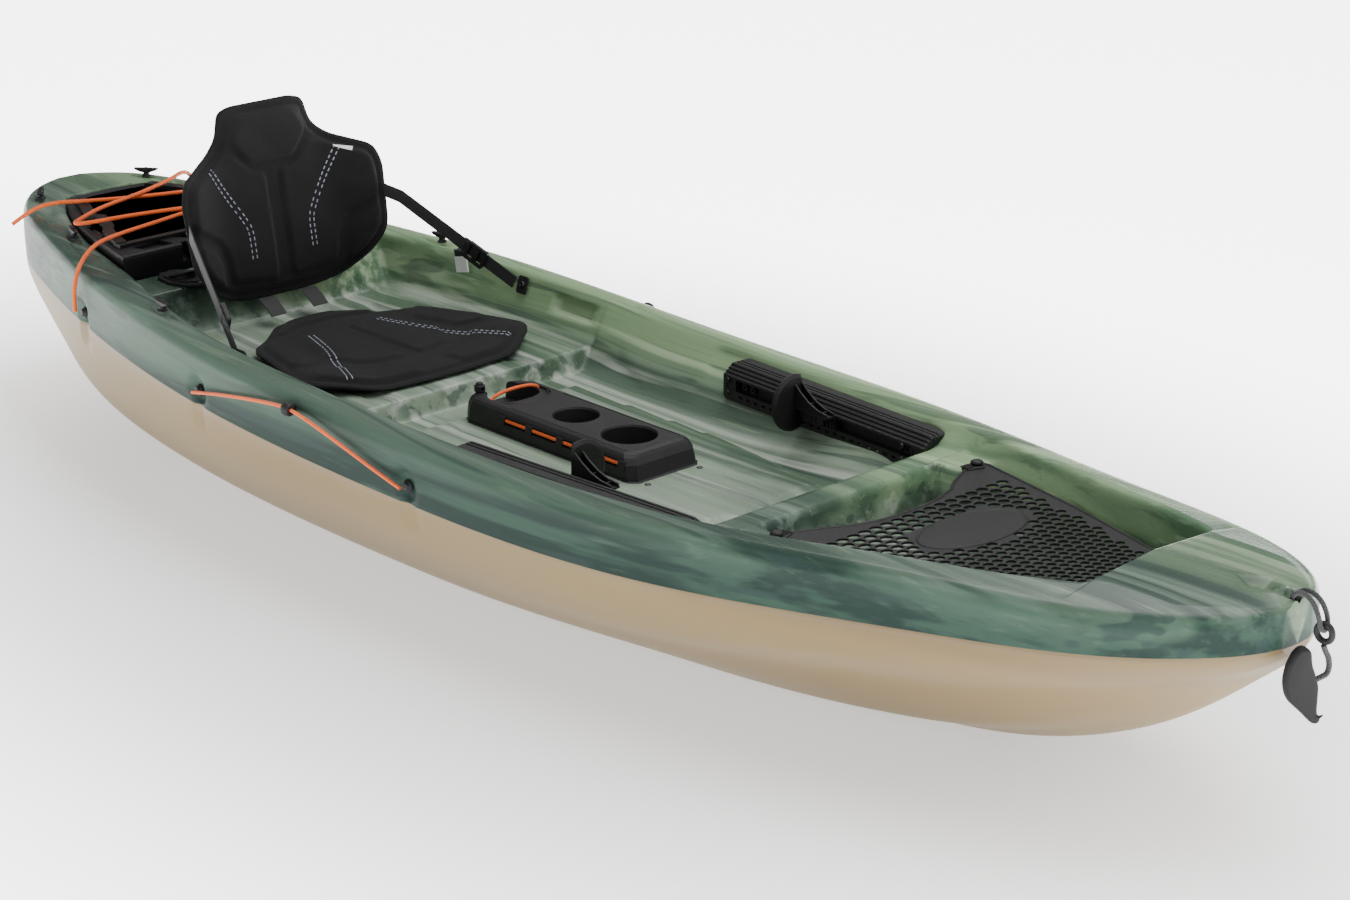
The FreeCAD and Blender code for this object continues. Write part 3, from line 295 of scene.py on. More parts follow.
def braid(name, light, groove_shade, length, diameter):
    """Braided sheath: strands winding both ways round the cord, with painted shade between the strands."""
    f = Finish(name, light, 0.62, Sheen_Weight=0.15)
    u, v, _ = f.parts(f.place("UV"))
    turns = length / (diameter * LAY_LENGTH)
    forward, round_cord = u * (turns * 2 * math.pi * STRANDS), v * (2 * math.pi * STRANDS)
    over = (forward + round_cord).wave().most((forward - round_cord).wave())
    # painted shade: darker where the strands dip, between them
    f.colour(f.mix(over * 0.5 + 0.5, groove_shade, light))
    return f.bump(over, 0.0003)


def dark_steel():
    """Blackened steel, scuffed."""
    f = Finish("dark_steel", shade(70, 70, 72), 0.32, Metallic=1.0)
    scuff = f.noise(f.place(), 260.0, 4.0, 0.6)
    f.rough(0.24 + scuff * 0.25)
    return f.bump(scuff, 0.00008)


def bead_foam():
    """White foam of pressed beads, with painted shade in the creases between them."""
    f = Finish("bead_foam", shade(226, 226, 222), 0.8, Subsurface_Weight=0.1)
    beads = f.cells(f.place(), 220.0)
    # painted shade: greyer toward the creases between the beads
    f.colour(f.mix(beads.step(0.2, 0.9), shade(236, 236, 232), shade(196, 196, 192)))
    return f.bump(1.0 - beads, 0.0008)


DECK = streaked_deck()
TAN = tan_hull()
BLACK = moulded("moulded_black", 30, 0.46)
TUB = moulded("tub_black", 27, 0.42)
GRIP = moulded("grip_black", 16, 0.55, 900.0)
CLOTH = woven_fabric()
STRAP = strap_weave("strap_webbing", shade(34, 34, 36), shade(14, 14, 15))
THREAD = Finish("stitching", shade(150, 152, 168), 0.6)
THREAD.bump((THREAD.parts(THREAD.place())[2] * 9000.0).wave(), 0.0001)
LABEL = Finish("bare_label", shade(236, 236, 234), 0.7)
LABEL.bump(LABEL.noise(LABEL.place(), 1500.0), 0.0001)
STEEL = dark_steel()
FOAM = bead_foam()
ORANGE = shade(250, 106, 10), shade(204, 66, 4)  # the orange of a braid's strands, and the painted shade between them
# the grey braids' strand colour, and the painted shade between the strands
GREY = shade(58, 58, 60), shade(20, 20, 21)

# ---------------------------------------------------------------- mesh kit


SIDES = (("port", 1), ("starboard", -1))


def shown(name, bm, body, finish, replaces=(), smooth=True):
    """A finished bmesh becomes a piece that rides on a body named by a string; any other body leaves it fixed
    where it lies.
    """
    mesh = bpy.data.meshes.new(name)
    bm.to_mesh(mesh)
    bm.free()
    thing = bpy.data.objects.new(name, mesh)
    SCENE.collection.objects.link(thing)
    return dressed(thing, body, finish, replaces, smooth)


def dressed(thing, body, finish, replaces=(), smooth=True):
    """Gives an object its finish and body, and hides the nodes it replaces."""
    thing.data.materials.clear()
    thing.data.materials.append(finish.material)
    if smooth and thing.type == "MESH":
        thing.data.polygons.foreach_set("use_smooth", [True] * len(thing.data.polygons))
    if isinstance(body, str):
        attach(thing, body)
    else:
        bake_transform(thing)
    if replaces:
        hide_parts(*replaces)
    return thing


def rounded(thing, width, segments, angle):
    """Softens a piece's hard edges."""
    bevel = thing.modifiers.new("edges", "BEVEL")
    bevel.width, bevel.segments = width, segments
    bevel.limit_method, bevel.angle_limit = "ANGLE", math.radians(angle)
    bevel.use_clamp_overlap = True
    bevel.harden_normals = True
    return thing


def hard(name, bm, body, finish, replaces, width, angle, segments=2):
    """A piece with flat faces whose hard edges are softened."""
    return rounded(shown(name, bm, body, finish, replaces, False), width, segments, angle)


def moved(bm, matrix):
    """A bmesh moved by a matrix."""
    bmesh.ops.transform(bm, matrix=matrix, verts=bm.verts)
    return bm


def outward(bm):
    """A bmesh with its faces pointing outwards."""
    bmesh.ops.recalc_face_normals(bm, faces=bm.faces)
    return bm


def joined(bm, other, matrix=None):
    """Adds one bmesh to another, moved by a matrix."""
    if matrix is not None:
        moved(other, matrix)
    mesh = bpy.data.meshes.new("part")
    other.to_mesh(mesh)
    other.free()
    bm.from_mesh(mesh)
    bpy.data.meshes.remove(mesh)
    return bm


def prism(points, low, high, plane="XY"):
    """An outline in millimetres, drawn up between two levels."""
    bm = bmesh.new()
    turn = {"XY": lambda a, b, c: (a, b, c), "XZ": lambda a, b, c: (a, c, b),
            "YZ": lambda a, b, c: (c, a, b)}[plane]
    face = bm.faces.new([bm.verts.new(Vector(turn(a, b, low)) * MM) for a, b in points])
    drawn = bmesh.ops.extrude_face_region(bm, geom=[face])
    shift = Vector(turn(0, 0, high - low)) * MM
    bmesh.ops.translate(bm, vec=shift, verts=[g for g in drawn["geom"] if isinstance(g, bmesh.types.BMVert)])
    return outward(bm)


def turned(profile, steps):
    """A solid of revolution from (radius, height) pairs in millimetres."""
    bm = bmesh.new()
    verts = [bm.verts.new((r * MM, 0, h * MM)) for r, h in profile]
    edges = [bm.edges.new(pair) for pair in zip(verts, verts[1:])]
    bmesh.ops.spin(bm, geom=verts + edges, cent=(0, 0, 0), axis=(0, 0, 1), angle=2 * math.pi,
                   steps=steps, use_merge=True)
    bmesh.ops.remove_doubles(bm, verts=bm.verts, dist=1e-6)
    return outward(bm)


def placed(x, y, z, axis="Z", angle=0.0):
    """A matrix that turns a shape about an axis and puts it at a place in millimetres."""
    return Matrix.Translation(Vector((x, y, z)) * MM) @ Matrix.Rotation(math.radians(angle), 4, axis)


def facing(spot, normal, spin=0.0):
    """A matrix that takes +Z to a surface's normal at a place in millimetres."""
    turn = Vector(normal).to_track_quat("Z", "Y").to_matrix().to_4x4()
    return Matrix.Translation(Vector(spot) * MM) @ turn @ Matrix.Rotation(math.radians(spin), 4, "Z")


def mirrored(bm):
    """The starboard twin of a port shape."""
    twin = bm.copy()
    bmesh.ops.scale(twin, vec=(1, -1, 1), verts=twin.verts)
    bmesh.ops.reverse_faces(twin, faces=twin.faces)
    return twin


def settled(thing):
    """Applies a piece's modifiers."""
    graph = bpy.context.evaluated_depsgraph_get()
    mesh = bpy.data.meshes.new_from_object(thing.evaluated_get(graph))
    thing.modifiers.clear()
    thing.data = mesh
    return thing


MERGE = 2e-6  # metres within which vertices become one


def carved(bm, *cutters, union=False):
    """A bmesh with others taken out of it, or joined to it in one skin."""
    objects = []
    for shape in (bm, *cutters):
        mesh = bpy.data.meshes.new("work")
        shape.to_mesh(mesh)
        shape.free()
        objects.append(bpy.data.objects.new("work", mesh))
        SCENE.collection.objects.link(objects[-1])
    for cutter in objects[1:]:
        modifier = objects[0].modifiers.new("cut", "BOOLEAN")
        modifier.operation = "UNION" if union else "DIFFERENCE"
        modifier.object, modifier.solver = cutter, "EXACT"
    settled(objects[0])
    result = bmesh.new()
    result.from_mesh(objects[0].data)
    bmesh.ops.remove_doubles(result, verts=result.verts, dist=MERGE)
    for thing in objects:
        bpy.data.objects.remove(thing)
    return result


def united(bm, *others):
    return carved(bm, *others, union=True)


def line(name, points, radius):
    """A smooth cord drawn by control points in millimetres."""
    data = bpy.data.curves.new(name, "CURVE")
    data.dimensions = "3D"
    data.bevel_depth, data.bevel_resolution = radius * MM, 4
    data.resolution_u = 8
    data.use_fill_caps = True
    spline = data.splines.new("NURBS")
    spline.points.add(len(points) - 1)
    for spot, (x, y, z) in zip(spline.points, points):
        spot.co = (x * MM, y * MM, z * MM, 1.0)
    spline.order_u = 3
    spline.use_endpoint_u = True
    thing = bpy.data.objects.new(name, data)
    SCENE.collection.objects.link(thing)
    return thing


# ---------------------------------------------------------------- hull lines


class Fair:
    """A fair line: the natural cubic through a few stations."""

    def __init__(self, stations, values):
        self.at, self.value = list(stations), list(values)
        n = len(self.at)
        upper, right = [0.0] * n, [0.0] * n
        for i in range(1, n - 1):
            before, after = self.at[i] - self.at[i - 1], self.at[i + 1] - self.at[i]
            bend = 3 * ((self.value[i + 1] - self.value[i]) / after
                        - (self.value[i] - self.value[i - 1]) / before)
            pivot = 2 * (before + after) - before * upper[i - 1]
            upper[i] = after / pivot
            right[i] = (bend - before * right[i - 1]) / pivot
        self.curve = [0.0] * n
        for i in range(n - 2, 0, -1):
            self.curve[i] = right[i] - upper[i] * self.curve[i + 1]

    def __call__(self, where):
        last = len(self.at) - 2
        i = max(0, min(last, sum(where >= s for s in self.at) - 1))
        gap, d = self.at[i + 1] - self.at[i], where - self.at[i]
        slope = ((self.value[i + 1] - self.value[i]) / gap
                 - gap * (2 * self.curve[i] + self.curve[i + 1]) / 3)
        cubic = (self.curve[i + 1] - self.curve[i]) / (3 * gap)
        return self.value[i] + d * (slope + d * (self.curve[i] + d * cubic))


HALF_LENGTH, HALF_BEAM, GUNWALE = 1460.0, 381.0, 313.0
SKIN_END = 1458  # the skins' last station, just short of the boat's tips
TIP, ROLL, TUNNEL, KEEL_RUB = 87, 28, 24, 2.5
TANK_FLOOR, SEAT_FLOOR, FOOT_FLOOR, BOW_TOP = 200, 241, 206, 366
CORD_ENDS = ((-968, 262), (-500, 250), (70, 238))  # x and z of the plugs in the sides
OFFSETS = [
    # station, gunwale, sheer, seam, chine, chine height, keel height, crown
    (-1.00, 0.000, 55, 106, 0.000, 238, 225, 0),
    (-0.96, 0.358, 50, 106, 0.215, 165, 142, 0),
    (-0.85, 0.554, 42, 106, 0.420, 112, 64, 0),
    (-0.65, 0.780, 31, 105, 0.675, 82, 18, 0),
    (-0.35, 0.971, 15, 105, 0.765, 52, 0, 0),
    (0.00, 1.000, 0, 104, 0.755, 46, 0, 0),
    (0.35, 0.942, 2, 96, 0.680, 66, 0, 4),
    (0.65, 0.709, 22, 84, 0.470, 134, 18, 14),
    (0.85, 0.543, 36, 66, 0.350, 212, 118, 19),
    (0.96, 0.307, 46, 58, 0.180, 262, 238, 14),
    (1.00, 0.000, 48, 54, 0.000, 303, 300, 4),
]
WELL_WIDTHS = [
    # x, tank floor, seat floor, over the rim
    (-1372, 40, 46, 60), (-1290, 96, 102, 112), (-1180, 146, 152, 162), (-1060, 184, 190, 199),
    (-925, 214, 220, 229), (-760, 246, 254, 272), (-500, 262, 286, 318), (-250, 256, 288, 327),
    (0, 236, 276, 332), (300, 196, 262, 324), (520, 168, 244, 306), (700, 184, 232, 276),
    (950, 160, 184, 210), (1130, 126, 142, 164), (1240, 92, 104, 122),
]
LEVELS = (200, 240, 345)


def angle(share):
    """The angle whose sine is a share of the half length, in degrees."""
    return math.degrees(math.asin(max(-1.0, min(1.0, share))))


columns = list(zip(*OFFSETS))
angles = [angle(share) for share in columns[0]]
gunwale_line, sheer_line, seam_line, chine_line, chine_rise, keel_rise, crown_line = [
    Fair(angles, column) for column in columns[1:]]
well_lines = [Fair([row[0] for row in WELL_WIDTHS], [row[i] for row in WELL_WIDTHS]) for i in (1, 2, 3)]


def turn_at(x):
    """The fair angle of a frame, kept off the very tips."""
    return angle(max(-1.0, min(1.0, x / HALF_LENGTH)) * math.sin(math.radians(TIP)))


def gunwale(x):
    """Half breadth of the boat at a station."""
    return HALF_BEAM * gunwale_line(angle(x / HALF_LENGTH))


def sheer(x):
    """Height of the rim at a station."""
    return GUNWALE + sheer_line(angle(x / HALF_LENGTH))


def rolled(half):
    """Radius of the rim's rolled shoulder, which shrinks as the boat narrows."""
    return ROLL * half / (half + 40) * 1.1


def rim_edge(x):
    """Half breadth of the rim's flat, inside its rolled shoulder."""
    half = gunwale(x)
    return half - rolled(half)


def outline_slope(x):
    """How fast the half breadth grows along the boat."""
    return (gunwale(x + 5) - gunwale(x - 5)) / 10


def well_half(x, z):
    """Half breadth of the wells at a place on their walls."""
    low, middle, high = [line(x) for line in well_lines]
    if z < LEVELS[1]:
        return low + (middle - low) * (z - LEVELS[0]) / (LEVELS[1] - LEVELS[0])
    return middle + (high - middle) * (min(z, LEVELS[2]) - LEVELS[1]) / (LEVELS[2] - LEVELS[1])


def ease(value, low, high):
    """0 to 1 between two values, with a soft start and end."""
    t = max(0.0, min(1.0, (value - low) / (high - low)))
    return t * t * (3 - 2 * t)


# ---------------------------------------------------------------- skins


def softened(corners, steps, runs):
    """Points along an open outline; corner i has its own reach and its own runs between."""
    spots = []
    count = len(corners)
    reached = []
    for i, (point, reach) in enumerate(corners):
        if i in (0, count - 1):
            reached.append((point, point))
            continue
        back, ahead = corners[i - 1][0] - point, corners[i + 1][0] - point
        reach = min(reach, 0.46 * back.length, 0.46 * ahead.length)
        reached.append((point + back.normalized() * reach, point + ahead.normalized() * reach))
    for i, (start, end) in enumerate(reached):
        point = corners[i][0]
        if 0 < i < count - 1:
            for k in range(steps):
                t = k / steps
                spots.append(start * (1 - t) ** 2 + point * (2 * t * (1 - t)) + end * t * t)
        if i < count - 1:
            ahead = reached[i + 1][0]
            for k in range(runs[i]):
                spots.append(end + (ahead - end) * (k / runs[i]))
    spots.append(corners[-1][0])
    return spots


AFT_RIM, FORE_RIM = -1355, 1219


def floor_line():
    """The middle of the deck from stern to bow, with rounded changes of level."""
    corners = [((-SKIN_END, sheer(-SKIN_END)), 0), ((AFT_RIM, sheer(AFT_RIM)), 7), ((-1338, TANK_FLOOR), 14),
               ((-928, TANK_FLOOR), 12), ((-912, 320), 9), ((-815, 320), 10), ((-775, SEAT_FLOOR), 16),
               ((-250, SEAT_FLOOR), 7), ((-238, FOOT_FLOOR), 9), ((505, FOOT_FLOOR), 34), ((592, 286), 20),
               ((648, 286), 14), ((662, 220), 16), ((1120, 226), 18), ((1146, 308.5), 8), ((1204, 308.5), 8),
               ((FORE_RIM, BOW_TOP), 7), ((SKIN_END, BOW_TOP), 0)]
    runs = [14, 5, 22, 6, 10, 5, 46, 4, 70, 9, 8, 6, 44, 7, 6, 6, 30]
    spots = softened([(Vector((x, z)), reach) for (x, z), reach in corners], 5, runs)
    return [(p.x, p.y) for p in spots]


# beyond the last station the frames shrink to nothing; a row is x, the floor's height and its share
TIP_SHARES = (0.985, 0.94, 0.86, 0.7, 0.45, 0.0)
TIP_ROWS = len(TIP_SHARES)
ROWS = [(-SKIN_END - 2.0 * (1 - s), sheer(-SKIN_END), s) for s in reversed(TIP_SHARES)]
ROWS += [(x, z, 1.0) for x, z in floor_line()]
ROWS += [(SKIN_END + 2.0 * (1 - s), BOW_TOP, s) for s in TIP_SHARES]
CLEAT_X, HOOK_X, STERN_X = -685, -1128, -1368


def facet(px, py, a, b, c):
    """How deep a point is inside a triangle, as a share of its depth: 1 in the middle, 0 outside."""
    def side(p, q):
        return (q[0] - p[0]) * (py - p[1]) - (q[1] - p[1]) * (px - p[0])
    whole = (b[0] - a[0]) * (c[1] - a[1]) - (b[1] - a[1]) * (c[0] - a[0])
    shares = [side(a, b) / whole, side(b, c) / whole, side(c, a) / whole]
    return max(0.0, min(shares) * 3)


def rim_relief(x, y, half):
    """Height that the reliefs of the rim add, in millimetres."""
    out = 0.0
    edge = half - rolled(half)
    inner = well_half(x, LEVELS[2])
    # hollow under each cleat of the rim and the stern
    for cx, off, long, wide, deep in ((CLEAT_X, 14, 62, 15, 9), (HOOK_X, 20, 50, 17, 8), (STERN_X, 16, 30, 12, 6)):
        mid = rim_edge(cx) - off
        slope = outline_slope(cx)
        u, v = x - cx, y - mid - slope * (x - cx)
        share = 1 - abs(u) / long - abs(v) / wide
        out -= deep * max(0.0, min(1.0, share * 1.6))
    # cut gems of the stern
    out -= 12.6 * facet(x, y, (-1330, 118), (-1210, 168), (-1262, 236))
    out -= 8.4 * facet(x, y, (-1120, 214), (-1010, 262), (-1040, 226))
    # gem beside the paddle knob
    out -= 6 * facet(x, y, (-250, inner + 4), (-130, inner + 6), (-190, edge - 2))
    # long bevel of the bow rim
    out -= 5 * ease(x, 1180, 1300) * ease(y, inner * 0.3, inner * 0.9) * (1 - ease(y, edge - 24, edge))
    return out


def bow_dimple(x, y):
    """The hollow behind the bow cord hole and the lip round the hole."""
    share = 1 - abs(x - 1392) / 40 - abs(y) / 34
    hollow = max(0.0, min(1.0, share * 1.7))
    reach = math.hypot((x - 1446) / 1.25, y)
    lip = max(0.0, 1 - abs(reach - 15) / 5)
    hole = 1 - ease(reach, 7.5, 11)
    return -12 * hollow + 3.0 * lip * lip * (3 - 2 * lip) - 16 * hole


FLOOR_RUN, WALL_RUN, RIM_RUN, SIDE_RUN = 26, 13, 18, 13  # steps of a frame on each of its runs
FOLD = 5  # steps round each of its corners


def deck_section(x, floor):
    """Half a frame of the deck: middle, floor, wall, rim, shoulder, side, seam lip."""
    turn = turn_at(x)
    half = HALF_BEAM * gunwale_line(turn)
    top, drop, crown = GUNWALE + sheer_line(turn), seam_line(turn), crown_line(turn)
    roll = rolled(half)
    edge = half - roll

    def rim(y):
        share = min(1.0, max(0.0, y / max(edge, 1)))
        return top + crown * (1 - share ** 2.2)

    inner = well_half(max(WELL_WIDTHS[0][0], min(WELL_WIDTHS[-1][0], x)), LEVELS[2])
    inner = min(inner, edge * 0.93)
    open_well = AFT_RIM <= x <= FORE_RIM
    if open_well:
        z = min(floor, rim(inner) - 0.02)
        foot = min(well_half(x, z), inner)
    else:
        z, foot = rim(0), min(inner, edge * 0.9) * 0.98
    points = [(Vector((0, z if open_well else rim(0))), 0),
              (Vector((foot, z if open_well else rim(foot))), 22 if z < 300 else 8),
              (Vector((inner + 0.05, rim(inner))), 11),
              (Vector((edge, top)), 3),
              (Vector((half - 0.62 * roll, top - 0.07 * roll)), 6),
              (Vector((half - 0.32 * roll, top - 0.3 * roll)), 6),
              (Vector((half - 0.08 * roll, top - 0.8 * roll)), 8),
              (Vector((half, top - 0.55 * drop)), 16),
              (Vector((half * 0.99, top - drop)), 1.2),
              (Vector((half * 0.99 - min(4, half * 0.1), top - drop - 1.4)), 0)]
    runs = [FLOOR_RUN, WALL_RUN, RIM_RUN, 3, 3, 3, 10, SIDE_RUN, 1]
    return softened(points, FOLD, runs), half, rim, foot, inner, edge


def side_pocket(x, z):
    """How far the hollows at the cord ends press into the side."""
    out, reach = 0.0, 17
    for cx, cz in CORD_ENDS:
        far = math.hypot(x - cx, (z - cz) / 1.25)
        out += 8 * (1 - ease(far, reach * 0.75, reach * 1.5))
        out += 4 * (1 - ease(math.hypot((x - cx) / 1.1, (z - cz + 24) / 1.6), 6, 16))
    return out


def wall_relief(x, z):
    """Hollows and ribs pressed into the inner walls, as a shift outwards."""
    out = 0.0
    # grip pocket beside the seat
    out += 9 * ease(z, 268, 274) * (1 - ease(z, 298, 304)) * ease(x, -376, -364) * (1 - ease(x, -276, -264))
    # long step of the footwell wall
    out += 6 * ease(x, 20, 60) * (1 - ease(x, 560, 600)) * (1 - ease(z, 296, 304)) * ease(z, 212, 240)
    # facet in front of the seat
    out += 7 * facet(x, z, (-250, 206), (-60, 206), (-180, 262))
    return out


def floor_relief(x, y, foot):
    """Height of the panels pressed into the floors."""
    out = 0.0
    across = abs(y)
    if -238 < x < 505:
        # sunk side channels and the raised middle of the footwell
        side = 1 - ease(across, foot - 46, foot - 30)
        out += 7 * side * ease(x, -190, -168) * (1 - ease(x, 440, 476 - across * 0.2))
        out -= 3 * (1 - ease(abs(across - 104), 5, 9)) * ease(x, -150, -130) * (1 - ease(x, 380, 410))
    if -775 < x < -250:
        out -= 4 * (1 - ease(abs(across - 150), 16, 24)) * ease(x, -720, -690) * (1 - ease(x, -300, -270))
    if -912 < x < -815:
        # ribs across the aft deck between the rod holders
        for rib in (-96, -48, 0, 48, 96):
            out += 3 * (1 - ease(abs(y - rib), 4, 9)) * ease(x, -905, -895) * (1 - ease(x, -832, -822))
    if 662 < x < 1120:
        for rib in (740, 820, 900, 980, 1060):
            out += 4 * (1 - ease(abs(x - rib), 6, 14)) * (1 - ease(across, foot - 40, foot - 20))
    return out


def faced_out(bm, sign):
    """Turns a skin's faces outwards, judged by its highest (1) or lowest (-1) face amidships."""
    outward(bm)
    amidships = [f for f in bm.faces if abs(f.calc_center_median().x) < 0.4]
    if sign * max(amidships, key=lambda f: sign * f.calc_center_median().z).normal.z < 0:
        bmesh.ops.reverse_faces(bm, faces=bm.faces)
    return bm


LEDGE_AFT, LEDGE_FORE, LEDGE_TOP = 640, 716, 290  # the ledge that the mesh cover's aft corners lie on


def deck_skin():
    """The deck in one sheet: each frame is a row of the grid, and the reliefs shift its vertices."""
    count = len(deck_section(0, FOOT_FLOOR)[0])
    bm = bmesh.new()
    bmesh.ops.create_grid(bm, x_segments=len(ROWS) - 1, y_segments=count - 1, size=0.5)
    shoulder = FLOOR_RUN + WALL_RUN + RIM_RUN + 3 * FOLD
    zone = bm.loops.layers.uv.new("zone")
    for face in bm.faces:
        for loop in face.loops:
            column = round((loop.vert.co.y + 0.5) * (count - 1))
            loop[zone].uv = (ease(column, shoulder, shoulder + 26), 0.5)
    sections = {}
    for vert in bm.verts:
        row = round((vert.co.x + 0.5) * (len(ROWS) - 1))
        column = round((vert.co.y + 0.5) * (count - 1))
        if row not in sections:
            sections[row] = deck_section(max(-SKIN_END, min(SKIN_END, ROWS[row][0])), ROWS[row][1])
        points, half, rim, foot, inner, edge = sections[row]
        (x, _, share), (y, z) = ROWS[row], points[column]
        open_well = AFT_RIM <= x <= FORE_RIM
        on_floor = open_well and column <= FLOOR_RUN and z < rim(0) - 20
        on_wall = open_well and FLOOR_RUN < column <= FLOOR_RUN + FOLD + WALL_RUN and z < rim(inner) - 8
        ledge = LEDGE_AFT < x < LEDGE_FORE
        if on_floor:
            z += floor_relief(x, y, foot)
            if ledge:
                z = max(z, z + (LEDGE_TOP - z) * ease(y, 176, 190))
        elif on_wall:
            y += wall_relief(x, z)
            if ledge and y > 184:
                z = max(z, LEDGE_TOP)
        elif z > rim(0) - 60 and y < edge:
            z += rim_relief(x, y, half) if open_well or x < 0 else 0
            if x > 1300:
                z += bow_dimple(x, y)
        elif z < sheer(x) - 30:
            y -= side_pocket(x, z)
        low = points[-1].y
        vert.co = Vector((x, y * share, low + (z - low) * share)) * MM
    joined(bm, mirrored(bm))
    bmesh.ops.remove_doubles(bm, verts=bm.verts, dist=MERGE)
    bmesh.ops.dissolve_degenerate(bm, edges=bm.edges, dist=1e-6)
    return shown("deck_skin", faced_out(bm, 1), "hull", DECK, ["deck_shell"])


def hull_section(x):
    """Half a frame of the hull, from the seam down the flank and in to the keel."""
    turn = turn_at(x)
    half = HALF_BEAM * gunwale_line(turn)
    seam_z = GUNWALE + sheer_line(turn) - seam_line(turn)
    seam_y = half * 0.99
    chine_y, chine_z = HALF_BEAM * chine_line(turn), chine_rise(turn)
    keel_z = keel_rise(turn) - KEEL_RUB
    fullness = 1.0 + 3.0 * max(0.0, math.cos(math.radians(1.15 * turn))) ** 2
    tunnel = TUNNEL * max(0.0, math.cos(math.radians(1.5 * turn)))
    spots = []
    flank_steps, bottom_steps = 26, 34
    # the bulge beside the keel, under the forward half
    fore = ease(x, 0, 500) * (1 - ease(x, 820, 1060))
    tuck = min(3.0, half * 0.05)
    for k in range(flank_steps):
        t = 1 - k / flank_steps
        y = chine_y + (seam_y - chine_y) * math.sin(math.pi / 2 * t)
        inward = tuck * (1 - ease((1 - t) * (seam_z - chine_z), 1, 9))
        spots.append((y - inward, chine_z + (seam_z + 1 - chine_z) * t))
    for k in range(bottom_steps + 1):
        t = 1 - k / bottom_steps
        groove = max(0.0, 1 - abs(t - 0.4) / 0.28) if t > 0.12 else 0.0
        groove = groove * groove * (3 - 2 * groove)
        spots.append((chine_y * t, keel_z + (chine_z - keel_z) * t ** fullness + 0.9 * tunnel * groove))
    # the chine is a soft fold, not an edge
    for _ in range(3):
        smooth = list(spots)
        for i in range(flank_steps - 4, flank_steps + 5):
            smooth[i] = tuple((a + 2 * b + c) / 4 for a, b, c in zip(spots[i - 1], spots[i], spots[i + 1]))
        spots = smooth
    lifted = []
    for y, z in spots:
        share = ease(y, chine_y * 0.45, chine_y * 0.85) * (1 - ease(z, chine_z + 8, chine_z + 70))
        lifted.append((y, max(0.0, z + 11.0 * fore * share)))
    return lifted, seam_z


def hull_skin():
    """The hull in one sheet, with the scoops that lead up to the cord ends."""
    steps = 240 + 2 * TIP_ROWS
    count = len(hull_section(0)[0])
    bm = bmesh.new()
    bmesh.ops.create_grid(bm, x_segments=steps, y_segments=count - 1, size=0.5)
    sections = {}
    for vert in bm.verts:
        row = round((vert.co.x + 0.5) * steps)
        column = round((vert.co.y + 0.5) * (count - 1))
        turn = max(TIP_ROWS, min(steps - TIP_ROWS, row))
        share = (1.0, *TIP_SHARES)[abs(row - turn)]
        x = SKIN_END * math.sin(math.radians(180 * (turn - TIP_ROWS) / (steps - 2 * TIP_ROWS) - 90))
        if row not in sections:
            sections[row] = hull_section(x)
        points, seam_z = sections[row]
        y, z = points[column]
        for cx, _ in CORD_ENDS:
            scoop = math.hypot((x - cx) / 15, (z - seam_z + 12) / 46)
            y -= 7 * (1 - ease(scoop, 0.55, 1.0)) * ease(y, 60, 160)
        vert.co = Vector((x, y * share, seam_z + (z - seam_z) * share)) * MM
    joined(bm, mirrored(bm))
    bmesh.ops.remove_doubles(bm, verts=bm.verts, dist=MERGE)
    return shown("hull_skin", faced_out(bm, -1), "hull", TAN, ["hull_shell"])


deck_skin()
hull_skin()

# ---------------------------------------------------------------- shapes of several pieces


def cup(rings):
    """Skins a row of like loops, in millimetres, and closes both ends."""
    bm = bmesh.new()
    loops = []
    for ring in rings:
        verts = [bm.verts.new(Vector(p) * MM) for p in ring]
        loops.append([bm.edges.new((a, b)) for a, b in zip(verts, verts[1:] + verts[:1])])
    for a, b in zip(loops, loops[1:]):
        bmesh.ops.bridge_loops(bm, edges=a + b)
    for loop in (loops[0], loops[-1]):
        bmesh.ops.contextual_create(bm, geom=loop)
    return outward(bm)


def block(low, high):
    """A brick between two corners, in millimetres."""
    (ax, ay, az), (bx, by, bz) = low, high
    return prism([(ax, ay), (bx, ay), (bx, by), (ax, by)], az, bz)


def rod(start, end, radius, steps):
    """A round bar between two places in millimetres."""
    run = Vector(end) - Vector(start)
    return moved(turned([(0, 0), (radius, 0), (radius, run.length), (0, run.length)], steps), facing(start, run))


def pan_screw(bm, matrix, radius, tall):
    """Adds a domed screw head with a cross cut into it."""
    head = turned([(0, tall - 1.1), (0.5, tall - 0.9), (radius * 0.55, tall), (radius * 0.86, tall * 0.72),
                   (radius, tall * 0.2), (radius, 0), (0, 0)], 20)
    for turn in (0, 90):
        slot = block((-radius * 0.5, -0.55, tall * 0.45), (radius * 0.5, 0.55, tall + 2))
        bmesh.ops.rotate(slot, cent=(0, 0, 0), matrix=Matrix.Rotation(math.radians(turn + 20), 3, "Z"),
                         verts=slot.verts)
        head = carved(head, slot)
    return joined(bm, head, matrix)


def screws(name, places, replaces, radius, tall=2.6):
    bm = bmesh.new()
    for matrix in places:
        pan_screw(bm, matrix, radius, tall)
    return shown(name, bm, "hull", STEEL, replaces, False)


def braided(name, points, radius, tones, body, replaces, long):
    """A cord that lies along a smooth line, in a braided sheath; long is its length in metres."""
    thing = line(name, points, radius)
    dressed(thing, body, braid(name + "_sheath", *tones, long, 2 * radius * MM), replaces)
    Vector(points[0]) * MM


# ---------------------------------------------------------------- storage tub

TUB_TOP, TUB_RIM = 371.6, 363.0  # top of the bars that the cords lie on, and of the flange
TUB_INNER = -984  # fore edge of the tub's mouth


